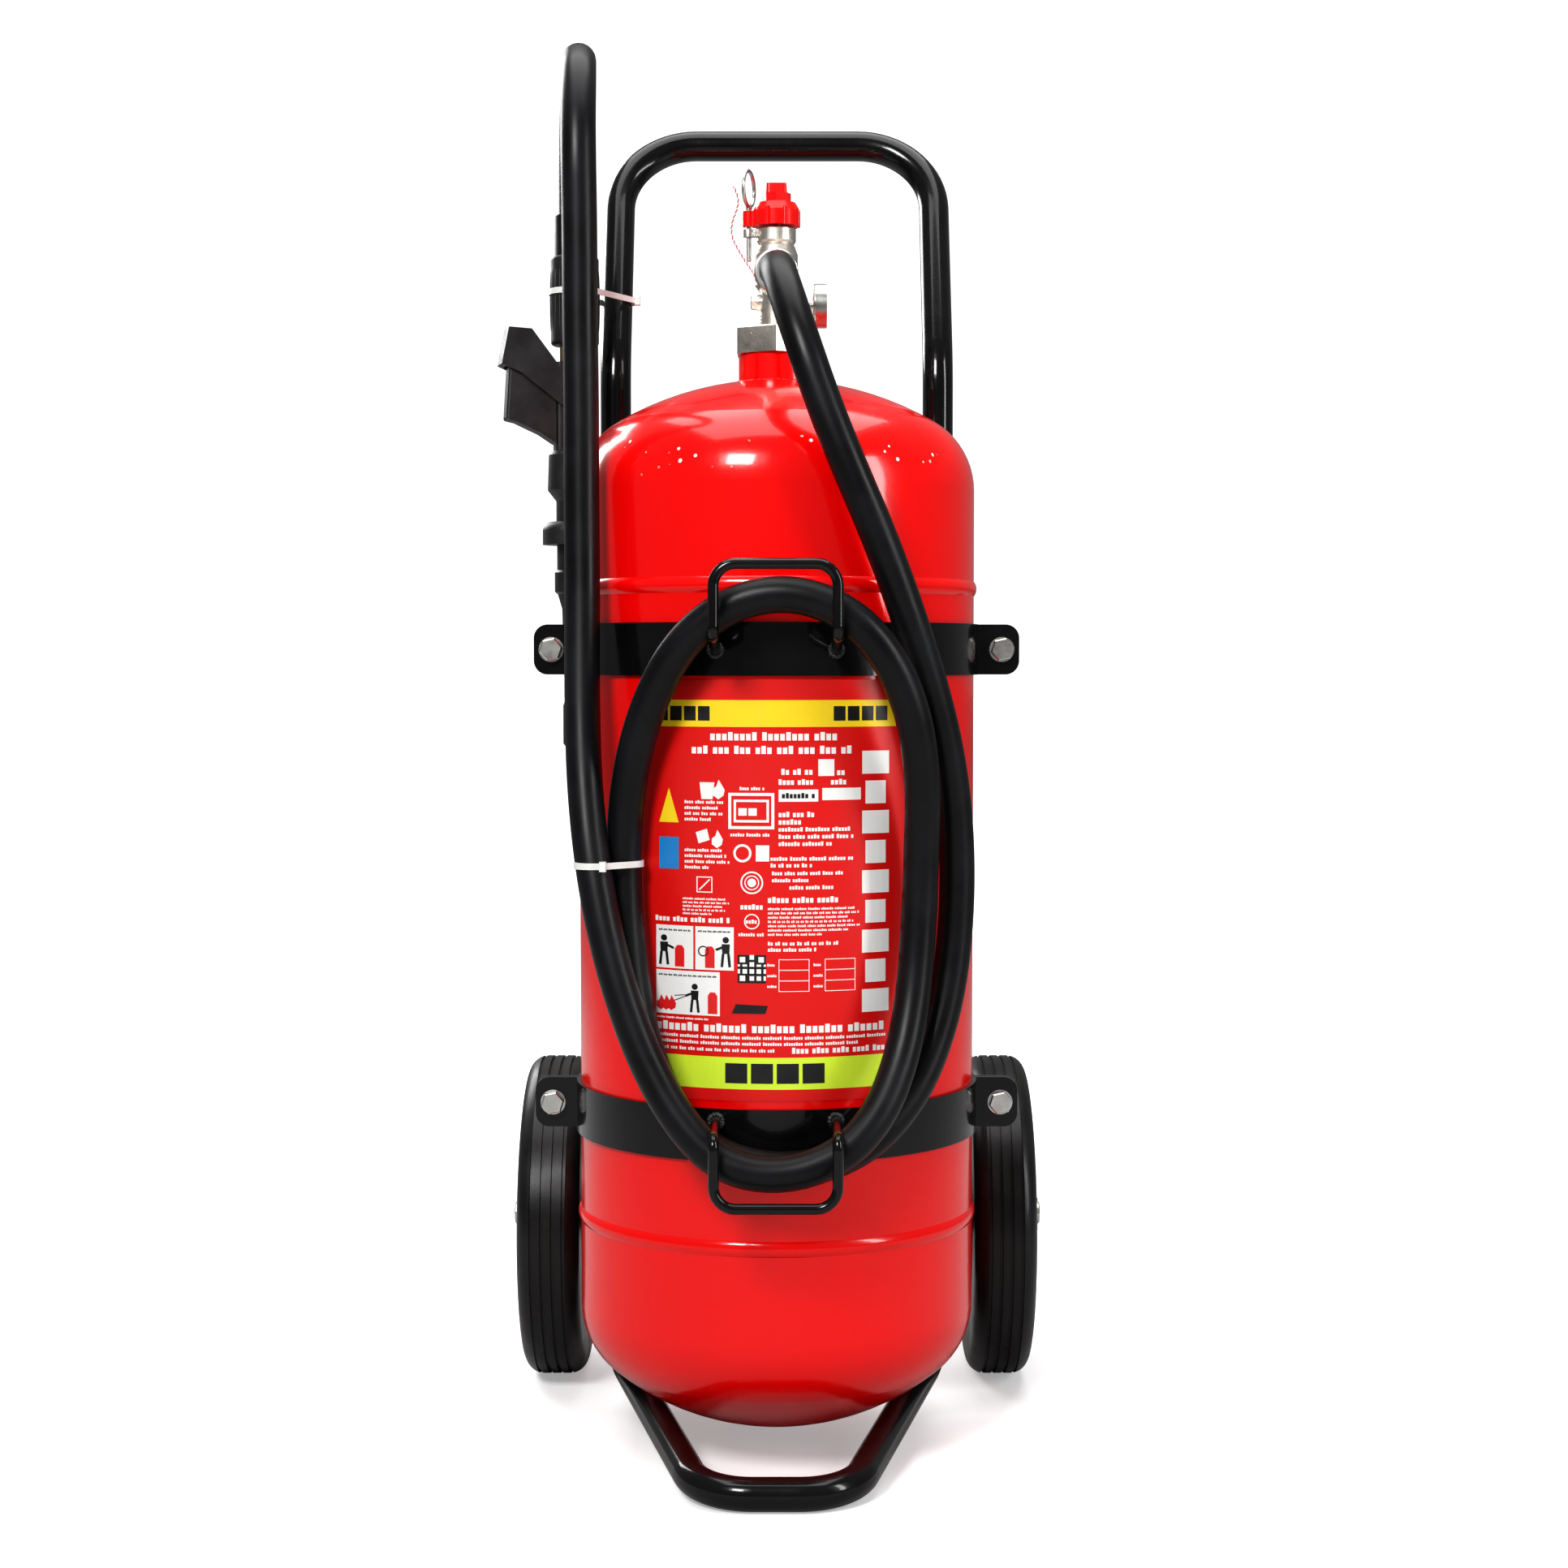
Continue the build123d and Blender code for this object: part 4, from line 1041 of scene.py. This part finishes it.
title_blocks(black, -0.090, 4, 0.0088, 0.2846, 0.2954, 0.0018)
title_blocks(black, 0.043, 4, 0.0088, 0.2846, 0.2954, 0.0018)
title_blocks(black, -0.038, 4, 0.0165, 0.0135, 0.0285, 0.0028)

# Two title rows
white.words(-0.049, 0.046, 0.2700, 0.2762, 2)
white.words(-0.063, 0.060, 0.2600, 0.2660, 5)

# Class marks: a yellow triangle and a blue square, each with a small picture and text
mark_left = -0.088
mark_right = -0.073
yellow.outline([(mark_left, 0.208), (mark_right, 0.208), (-0.0805, 0.234)])
blue.bar(mark_left, mark_right, 0.173, 0.197)
white.bin_shape(-0.0515, 0.2330, 0.014)
white.flame(-0.0430, 0.2330, 0.014)
white.can_shape(-0.0530, 0.1990, 0.014)
white.flame(-0.0440, 0.1960, 0.013)
white.paragraph(-0.0685, -0.038, 0.2250, 4, 0.0024, 0.0019, 3)
white.paragraph(-0.0685, -0.034, 0.1890, 4, 0.0024, 0.0019, 8)
white.frame(-0.0595, -0.0475, 0.1560, 0.1680, 0.0008)
white.stroke(-0.0575, 0.1580, -0.0495, 0.1660, 0.0010)
white.paragraph(-0.070, -0.035, 0.1520, 5, 0.0016, 0.0012, 4)

# Plain marks in the middle column
white.frame(-0.0355, -0.0012, 0.2040, 0.2310, 0.0022)
white.frame(-0.0315, -0.0052, 0.2090, 0.2260, 0.0018)
white.words(-0.028, -0.008, 0.2140, 0.2210, 1, 0.9)
white.words(-0.027, -0.007, 0.2330, 0.2355, 3)
white.words(-0.034, -0.004, 0.1985, 0.2010, 6)
white.ring(-0.0250, 0.1860, 0.0068, 0.0018)
white.bar(-0.0150, -0.0050, 0.1800, 0.1920)
white.ring(-0.0180, 0.1640, 0.0085, 0.0012)
white.ring(-0.0180, 0.1640, 0.0055, 0.0008)
white.disc(-0.0180, 0.1640, 0.0032)
white.words(-0.0265, -0.0095, 0.1440, 0.1480, 2)
white.ring(-0.0180, 0.1350, 0.0058, 0.0009)
white.words(-0.0225, -0.0135, 0.1335, 0.1365, 1)
white.words(-0.0280, -0.0080, 0.1240, 0.1265, 4)

# Plain patterned square: a chequer with three corner frames
chequer_left, chequer_foot, chequer_cell = -0.0285, 0.0890, 0.00175
chequer_side = chequer_cell * 12
white.bar(chequer_left, chequer_left + chequer_side, chequer_foot, chequer_foot + chequer_side)
for row in range(12):
    for column in range(12):
        corner = (row < 4 or row > 7) and (column < 4 or column > 7) and not (row < 4 and column > 7)
        if not corner and (row * 5 + column * 3 + row * column) % 3 == 0:
            left = chequer_left + column * chequer_cell
            low = chequer_foot + row * chequer_cell
            black.bar(left, left + chequer_cell, low, low + chequer_cell)
for column, row in ((0, 0), (0, 8), (8, 8)):
    left = chequer_left + column * chequer_cell
    low = chequer_foot + row * chequer_cell
    black.frame(left, left + chequer_cell * 4, low, low + chequer_cell * 4, chequer_cell * 0.8)

# Text blocks in the right-hand column
white.words(0.004, 0.029, 0.2445, 0.2490, 7)
white.bar(0.0315, 0.0435, 0.2435, 0.2560)
white.words(0.0455, 0.0530, 0.2440, 0.2485, 2)
white.words(0.002, 0.031, 0.2370, 0.2412, 3)
white.words(0.041, 0.053, 0.2370, 0.2412, 9)
white.bar(0.002, 0.0315, 0.2245, 0.2335)
white.bar(0.0345, 0.0635, 0.2255, 0.2345)
black.words(0.0045, 0.029, 0.2270, 0.2310, 4)
white.paragraph(0.002, 0.034, 0.2170, 2, 0.0040, 0.0016, 5)
white.paragraph(0.002, 0.063, 0.2055, 3, 0.0032, 0.0022, 2)
white.paragraph(-0.004, 0.058, 0.1835, 2, 0.0030, 0.0020, 6)
white.paragraph(-0.003, 0.050, 0.1725, 2, 0.0028, 0.0024, 3)
white.words(0.010, 0.044, 0.1590, 0.1620, 1)
white.words(-0.006, 0.047, 0.1490, 0.1535, 8)
white.paragraph(-0.006, 0.063, 0.1455, 7, 0.0018, 0.0014, 4)
white.paragraph(-0.006, 0.050, 0.1200, 2, 0.0028, 0.0018, 7)
for table_left in (0.0020, 0.0365):
    for row in range(3):
        low = 0.0825 + row * 0.0080
        white.frame(table_left, table_left + 0.0230, low, low + 0.0083, 0.0005)
        white.words(table_left - 0.0085, table_left - 0.0015, low + 0.0030, low + 0.0050, row + 1)

# Tall column of plain blocks on the right, wide and narrow by turns
column_left, column_right = 0.0645, 0.0850
column_foot, column_step = 0.0655, 0.0224
for index in range(9):
    low = column_foot + index * column_step
    inset = 0.0025 * (index % 2)
    white.bar(column_left + inset, column_right - inset, low, low + 0.0172)

# Three white picture boxes: pull, hold and squeeze
white.words(-0.091, -0.034, 0.1335, 0.1375, 3)
for box_left, box_right, box_low, box_high in (
    (-0.0905, -0.0620, 0.0980, 0.1305),
    (-0.0605, -0.0315, 0.0980, 0.1305),
    (-0.0905, -0.0420, 0.0635, 0.0965),
):
    white.bar(box_left, box_right, box_low, box_high)
    black.words(box_left + 0.002, box_right - 0.002, box_high - 0.0042, box_high - 0.0028, 5)
black.person(-0.0845, 0.1115, 0.022)
red.small_tank(-0.0725, 0.1085, 0.018)
black.person(-0.0375, 0.1115, 0.022, -1)
red.small_tank(-0.0495, 0.1085, 0.018)
black.ring(-0.0545, 0.1120, 0.0040, 0.0009)
black.person(-0.0610, 0.0760, 0.021, -1)
red.small_tank(-0.0475, 0.0740, 0.018)
for lick in (-0.0870, -0.0830, -0.0790):
    red.flame(lick, 0.0715, 0.011)
black.stroke(-0.0680, 0.0775, -0.0770, 0.0735, 0.0006)
black.stroke(-0.0680, 0.0785, -0.0765, 0.0775, 0.0006)
plate = [(-0.033, 0.066), (-0.008, 0.066), (-0.006, 0.072), (-0.030, 0.073)]
black.outline(plate)

# Address rows at the foot
white.words(-0.090, -0.050, 0.0600, 0.0615, 6)
white.words(-0.090, 0.083, 0.0515, 0.0580, 4)
white.words(-0.088, 0.083, 0.0465, 0.0490, 9)
white.words(-0.088, 0.062, 0.0420, 0.0445, 2)
white.words(-0.086, 0.000, 0.0370, 0.0395, 5)
white.words(0.012, 0.083, 0.0360, 0.0405, 3)

for ink in (yellow, lime, white, blue, black, red):
    ink.finished()


# =====================================================================================
# Repeated details, each made by a node tree
# =====================================================================================
class Repeats(Tree):
    """A geometry tree with named inputs for sizes and a finish; a seed, where a tree has one, is among the
    sizes.
    """

    def __init__(self, name, sizes):
        group = bpy.data.node_groups.new(name, "GeometryNodeTree")
        group.interface.new_socket("Geometry", in_out="INPUT", socket_type="NodeSocketGeometry")
        for label, value in sizes.items():
            kind = "NodeSocketInt" if isinstance(value, int) else "NodeSocketFloat"
            group.interface.new_socket(label, in_out="INPUT", socket_type=kind).default_value = value
        group.interface.new_socket("Finish", in_out="INPUT", socket_type="NodeSocketMaterial")
        group.interface.new_socket("Geometry", in_out="OUTPUT", socket_type="NodeSocketGeometry")
        super().__init__(group)
        self.source = self.add("NodeGroupInput").outputs
        self.sink = self.add("NodeGroupOutput").inputs

    def finish(self, geometry):
        real = self.add("GeometryNodeRealizeInstances", {"Geometry": geometry}).outputs["Geometry"]
        painted = self.add("GeometryNodeSetMaterial", {"Geometry": real, "Material": self.source["Finish"]})
        self.links.new(painted.outputs["Geometry"], self.sink["Geometry"])
        return self.tree


def grown(name, guide, tree, sizes, finish):
    """The mesh that a node tree makes from a guide, as a plain piece."""
    modifier = guide.modifiers.new(name, "NODES")
    modifier.node_group = tree
    for socket in tree.interface.items_tree:
        if socket.in_out != "INPUT":
            continue
        if socket.name in sizes:
            modifier[socket.identifier] = sizes[socket.name]
        elif socket.name == "Finish":
            modifier[socket.identifier] = finish
    depsgraph = bpy.context.evaluated_depsgraph_get()
    mesh = bpy.data.meshes.new_from_object(guide.evaluated_get(depsgraph), depsgraph=depsgraph)
    mesh.name = name
    guide_mesh = guide.data
    bpy.data.objects.remove(guide)
    bpy.data.meshes.remove(guide_mesh)
    for polygon in mesh.polygons:
        polygon.use_smooth = True
    if not mesh.materials:
        mesh.materials.append(finish)
    piece = bpy.data.objects.new(name, mesh)
    bpy.context.scene.collection.objects.link(piece)
    return piece


def line_guide(name, lines):
    """Loose edges along lines of places, for a tree to follow."""
    vertices, edges = [], []
    for line in lines:
        first = len(vertices)
        vertices += line
        edges += [(first + i, first + i + 1) for i in range(len(line) - 1)]
    mesh = bpy.data.meshes.new(name)
    mesh.from_pydata([tuple(v) for v in vertices], edges, [])
    guide = bpy.data.objects.new(name, mesh)
    bpy.context.scene.collection.objects.link(guide)
    return guide


def circle_line(centre, axis, radius, steps=40):
    """Places round a circle about an axis."""
    axis = Vector(axis).normalized()
    across = axis.orthogonal().normalized()
    up = axis.cross(across)
    angles = [2 * pi * i / steps for i in range(steps + 1)]
    return [Vector(centre) + (across * cos(a) + up * sin(a)) * radius for a in angles]


def make_weld_bead():
    """Overlapping flattened drops laid along a seam, as a welder's ripples lie."""
    tree = Repeats("weld_bead", {"Bead": 0.002, "Pitch": 0.0014, "Flat": 0.7, "Uneven": 0.2, "Seed": 7})
    source = tree.source
    seam = tree.add("GeometryNodeMeshToCurve", {"Mesh": source["Geometry"]}).outputs["Curve"]
    steps = tree.add("GeometryNodeResampleCurve", {"Curve": seam}, mode="LENGTH")
    tree.give(steps.inputs["Length"], source["Pitch"])
    tangent = tree.add("GeometryNodeInputTangent").outputs["Tangent"]
    turn = tree.add("FunctionNodeAlignRotationToVector", {"Vector": tangent}, axis="X").outputs["Rotation"]
    drop = tree.add("GeometryNodeMeshIcoSphere", {"Radius": source["Bead"], "Subdivisions": 2})
    uneven = tree.add("FunctionNodeRandomValue", data_type="FLOAT")
    tree.give(uneven.inputs[2], tree.math("SUBTRACT", 1.0, source["Uneven"]))
    tree.give(uneven.inputs[3], tree.math("ADD", 1.0, source["Uneven"]))
    tree.give(uneven.inputs["Seed"], source["Seed"])
    size = uneven.outputs[1]
    short = tree.math("MULTIPLY", size, source["Flat"])
    scale = tree.add("ShaderNodeCombineXYZ", {"X": short, "Y": size, "Z": size}).outputs["Vector"]
    laid = tree.add("GeometryNodeInstanceOnPoints", {"Points": steps.outputs["Curve"]})
    tree.give(laid.inputs["Instance"], drop.outputs["Mesh"])
    tree.give(laid.inputs["Rotation"], turn)
    tree.give(laid.inputs["Scale"], scale)
    return tree.finish(laid.outputs["Instances"])


def make_upright_ribs():
    """Rounded ribs standing round an upright cylinder."""
    tree = Repeats("upright_ribs", {"Count": 24, "Radius": 0.02, "Wide": 0.002, "Deep": 0.002, "Tall": 0.05})
    source = tree.source
    ring = tree.add("GeometryNodeCurvePrimitiveCircle", mode="RADIUS")
    tree.give(ring.inputs["Resolution"], source["Count"])
    tree.give(ring.inputs["Radius"], source["Radius"])
    half_wide = tree.math("DIVIDE", source["Wide"], 2.0)
    rib = tree.add("GeometryNodeMeshUVSphere", {"Segments": 10, "Rings": 8, "Radius": 1.0}).outputs["Mesh"]
    size = tree.add("ShaderNodeCombineXYZ")
    tree.give(size.inputs["X"], tree.math("DIVIDE", source["Deep"], 2.0))
    tree.give(size.inputs["Y"], half_wide)
    tree.give(size.inputs["Z"], tree.math("DIVIDE", source["Tall"], 2.0))
    sized = tree.add("GeometryNodeTransform", {"Geometry": rib, "Scale": size.outputs["Vector"]})
    outward = tree.add("GeometryNodeInputPosition").outputs["Position"]
    turn = tree.add("FunctionNodeAlignRotationToVector", {"Vector": outward}, axis="X").outputs["Rotation"]
    stood = tree.add("GeometryNodeInstanceOnPoints", {"Points": ring.outputs["Curve"]})
    tree.give(stood.inputs["Instance"], sized.outputs["Geometry"])
    tree.give(stood.inputs["Rotation"], turn)
    base = tree.add("GeometryNodeInstanceOnPoints", {"Points": source["Geometry"]})
    tree.give(base.inputs["Instance"], stood.outputs["Instances"])
    return tree.finish(base.outputs["Instances"])


def make_dial_ticks():
    """Short marks round part of a dial, with a longer one at a steady interval."""
    sizes = {"Count": 25, "Radius": 0.012, "Long": 0.003, "Wide": 0.0003, "Every": 4}
    tree = Repeats("dial_ticks", {**sizes, "Start": -2.1, "Sweep": 4.2})
    source = tree.source
    last = tree.math("SUBTRACT", source["Count"], 1.0)
    line = tree.add("GeometryNodeMeshLine", {"Count": source["Count"]}, mode="OFFSET")
    index = tree.add("GeometryNodeInputIndex").outputs["Index"]
    part = tree.math("DIVIDE", index, last)
    angle = tree.math("ADD", source["Start"], tree.math("MULTIPLY", part, source["Sweep"]))
    main = tree.math("LESS_THAN", tree.math("MODULO", index, source["Every"]), 0.5)
    share = tree.math("ADD", 0.5, tree.math("MULTIPLY", main, 0.5))
    tall = tree.math("MULTIPLY", source["Long"], share)
    reach = tree.math("SUBTRACT", source["Radius"], tree.math("DIVIDE", tall, 2.0))
    across = tree.math("MULTIPLY", reach, tree.math("SINE", angle))
    up = tree.math("MULTIPLY", reach, tree.math("COSINE", angle))
    place = tree.add("ShaderNodeCombineXYZ", {"Y": across, "Z": up}).outputs["Vector"]
    set_places = tree.add("GeometryNodeSetPosition", {"Geometry": line.outputs["Mesh"], "Position": place})
    mark = tree.add("GeometryNodeMeshCube", {"Size": (0.0002, 1.0, 1.0)}).outputs["Mesh"]
    turn = tree.add("ShaderNodeCombineXYZ", {"X": tree.math("MULTIPLY", angle, -1.0)}).outputs["Vector"]
    turned = tree.add("FunctionNodeEulerToRotation", {"Euler": turn}).outputs["Rotation"]
    size = tree.add("ShaderNodeCombineXYZ", {"X": 1.0, "Y": source["Wide"], "Z": tall}).outputs["Vector"]
    marks = tree.add("GeometryNodeInstanceOnPoints", {"Points": set_places.outputs["Geometry"]})
    tree.give(marks.inputs["Instance"], mark)
    tree.give(marks.inputs["Rotation"], turned)
    tree.give(marks.inputs["Scale"], size)
    base = tree.add("GeometryNodeInstanceOnPoints", {"Points": source["Geometry"]})
    tree.give(base.inputs["Instance"], marks.outputs["Instances"])
    return tree.finish(base.outputs["Instances"])


weld_bead = make_weld_bead()
upright_ribs = make_upright_ribs()
dial_ticks = make_dial_ticks()


def point_guide(name, places):
    mesh = bpy.data.meshes.new(name)
    mesh.from_pydata([tuple(place) for place in places], [], [])
    guide = bpy.data.objects.new(name, mesh)
    bpy.context.scene.collection.objects.link(guide)
    return guide


# Welds where the hanger rods meet the bands, and round the neck
rod_radius = 0.004
weld_reach = 0.0008
band_face = tank_y - corners("upper_band_front")[0].y
hanger_welds = []
for hanger_node in ("upper_hose_hanger", "lower_hose_hanger"):
    low, high = corners(hanger_node)
    end_z = high.z - rod_radius if hanger_node.startswith("lower") else low.z + rod_radius
    for side in (-1, 1):
        end_x = side * (high.x - rod_radius)
        face_y = tank_y - sqrt(band_face**2 - end_x**2)
        seam_middle = (end_x, face_y - weld_reach, end_z)
        hanger_welds.append(circle_line(seam_middle, (0, 1, 0), rod_radius + weld_reach))
weld_sizes = {"Bead": 0.0021, "Pitch": 0.0013, "Flat": 0.6, "Uneven": 0.22, "Seed": 11}
hanger_seams = line_guide("hanger_seams", hanger_welds)
hanger_beads = grown("hanger_welds", hanger_seams, weld_bead, weld_sizes, weld_steel)
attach(hanger_beads, "root")

neck_radius = (neck_high.x - neck_low.x) / 2
seam_drop = 0.0018            # the neck comes through the dome this far under its top
neck_seam = circle_line((0, tank_y, tank_high.z - seam_drop), (0, 0, 1), neck_radius + weld_reach, 96)
neck_sizes = {"Bead": 0.0026, "Pitch": 0.0019, "Flat": 0.65, "Uneven": 0.15, "Seed": 5}
neck_line = line_guide("neck_seam_line", [neck_seam])
neck_bead = grown("neck_weld", neck_line, weld_bead, neck_sizes, finishes["red_paint"])
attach(neck_bead, "root")

# Ribs round the gun's coupling
coupling_low, coupling_high = corners("gun_coupling")
coupling_middle = (coupling_low + coupling_high) / 2
rib_sizes = {
    "Count": 26,
    "Radius": (coupling_high.x - coupling_low.x) / 2 - 0.0002,
    "Wide": 0.0024,
    "Deep": 0.0022,
    "Tall": 0.052,
}
coupling_ribs = grown(
    "coupling_ribs",
    point_guide("coupling_place", [coupling_middle]),
    upright_ribs,
    rib_sizes,
    finishes["black_plastic"],
)
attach(coupling_ribs, "root")

# Marks and working range on the gauge's dial
dial_low, dial_high = corners("gauge_dial")
dial_middle = (dial_low + dial_high) / 2
dial_face = dial_high.x + 0.00005
tick_sizes = {"Count": 25, "Radius": 0.0135, "Long": 0.0028, "Wide": 0.00028, "Every": 4}
gauge_marks = grown(
    "gauge_marks",
    point_guide("dial_place", [(dial_face, dial_middle.y, dial_middle.z)]),
    dial_ticks,
    tick_sizes,
    black_ink,
)
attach(gauge_marks, "root")


def dial_arc(name, start, end, inner, outer, ink):
    """A coloured arc printed on the dial, thin and flat."""
    steps = 24
    thick = 0.00008               # to each side of the dial's face
    vertices = []
    for x in (dial_high.x - thick, dial_high.x + thick):
        for radius in (inner, outer):
            for i in range(steps + 1):
                angle = start + (end - start) * i / steps
                vertices.append((x, dial_middle.y + radius * sin(angle), dial_middle.z + radius * cos(angle)))
    n = steps + 1
    faces = []
    for i in range(steps):
        back_in, back_out, front_in, front_out = (i + n * k for k in range(4))
        faces.append((front_in, front_in + 1, front_out + 1, front_out))
        faces.append((back_in, back_out, back_out + 1, back_in + 1))
        faces.append((back_in, back_in + 1, front_in + 1, front_in))
        faces.append((back_out, front_out, front_out + 1, back_out + 1))
    faces.append((0, 2 * n, 3 * n, n))
    faces.append((n - 1, 2 * n - 1, 4 * n - 1, 3 * n - 1))
    piece = mesh_piece(name, vertices, faces, smooth=False)
    piece.data.materials.append(ink)
    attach(piece, "root")


dial_end = 2.1                # radians each way from the top
working_end = 0.7
arc_inner, arc_outer = 0.0078, 0.0100
dial_arc("dial_low_range", -dial_end, -working_end, arc_inner, arc_outer, red_ink)
dial_arc("dial_working_range", -working_end, working_end, arc_inner, arc_outer, green_ink)
dial_arc("dial_high_range", working_end, dial_end, arc_inner, arc_outer, red_ink)


# =====================================================================================
# Studio
# =====================================================================================
def soft_light(name, place, target, width, height, power, tint=(1.0, 1.0, 1.0)):
    data = bpy.data.lights.new(name, "AREA")
    data.shape = "RECTANGLE"
    data.size = width
    data.size_y = height
    data.energy = power
    data.color = tint
    light = bpy.data.objects.new(name, data)
    light.location = place
    light.rotation_euler = (Vector(target) - Vector(place)).to_track_quat("-Z", "Y").to_euler()
    bpy.context.scene.collection.objects.link(light)
    return light


floor_half = 40.0
floor_drop = 0.0005           # below the tyres, so that nothing lies in the floor
glow_start, glow_end = 0.7, 2.6    # distances over which the floor fades into the background
floor = mesh_piece(
    "floor",
    [
        (-floor_half, -floor_half, -floor_drop),
        (floor_half, -floor_half, -floor_drop),
        (floor_half, floor_half, -floor_drop),
        (-floor_half, floor_half, -floor_drop),
    ],
    [(0, 1, 2, 3)],
    smooth=False,
)
floor_material, floor_tree, floor_shader = new_material("pale_floor")
floor_place = floor_tree.add("ShaderNodeTexCoord").outputs["Object"]
floor_tone = floor_tree.ramp(floor_tree.noise(floor_place, 2.0, 3.0), -6.0, 1.0)
floor_seen = floor_tree.add("ShaderNodeLightPath").outputs["Is Camera Ray"]
floor_tint = floor_tree.mix(floor_tone, rgb(0.90, 0.90, 0.90), rgb(0.93, 0.93, 0.93))
floor_tree.give(
    floor_shader.inputs["Base Color"], floor_tree.mix(floor_seen, rgb(0.42, 0.42, 0.42), floor_tint)
)
away = floor_tree.add("ShaderNodeVectorMath", {0: floor_place}, operation="LENGTH").outputs["Value"]
far_share = floor_tree.ramp(away, glow_start, glow_end)
far_glow = floor_tree.math("ADD", 0.3, floor_tree.math("MULTIPLY", far_share, 0.8))
floor_tree.give(floor_shader.inputs["Emission Strength"], floor_tree.math("MULTIPLY", floor_seen, far_glow))
floor_shader.inputs["Emission Color"].default_value = rgb(1.0, 1.0, 1.0)
floor_shader.inputs["Roughness"].default_value = 0.9
floor_shader.inputs["Specular IOR Level"].default_value = 0.1
floor.data.materials.append(floor_material)

world = bpy.data.worlds.new("studio")
world.use_nodes = True
bpy.context.scene.world = world
room = Tree(world.node_tree)
room.nodes.clear()
seen = room.add("ShaderNodeBackground", {"Color": rgb(1.0, 1.0, 1.0), "Strength": 1.0})
fill = room.add("ShaderNodeBackground", {"Color": rgb(1.0, 1.0, 1.0), "Strength": 0.20})
looking = room.add("ShaderNodeLightPath").outputs["Is Camera Ray"]
blend = room.add("ShaderNodeMixShader", {0: looking})
room.links.new(fill.outputs[0], blend.inputs[1])
room.links.new(seen.outputs[0], blend.inputs[2])
result = room.add("ShaderNodeOutputWorld")
room.links.new(blend.outputs[0], result.inputs["Surface"])

aim = (0.0, tank_y, 0.6)
soft_light("key_light", (-1.0, -2.6, 2.3), aim, 0.8, 0.8, 66.0)
soft_light("side_light", (2.0, -1.3, 1.3), aim, 0.35, 1.6, 22.0)
soft_light("back_light", (-1.6, 2.0, 1.9), aim, 1.2, 1.2, 36.0)
soft_light("top_light", (0.0, 0.2, 3.4), (0.0, 0.2, 0.0), 3.0, 3.0, 85.0)

bpy.context.scene.view_settings.view_transform = "Standard"
bpy.context.scene.view_settings.look = "Medium High Contrast"

bpy.context.view_layer.update()
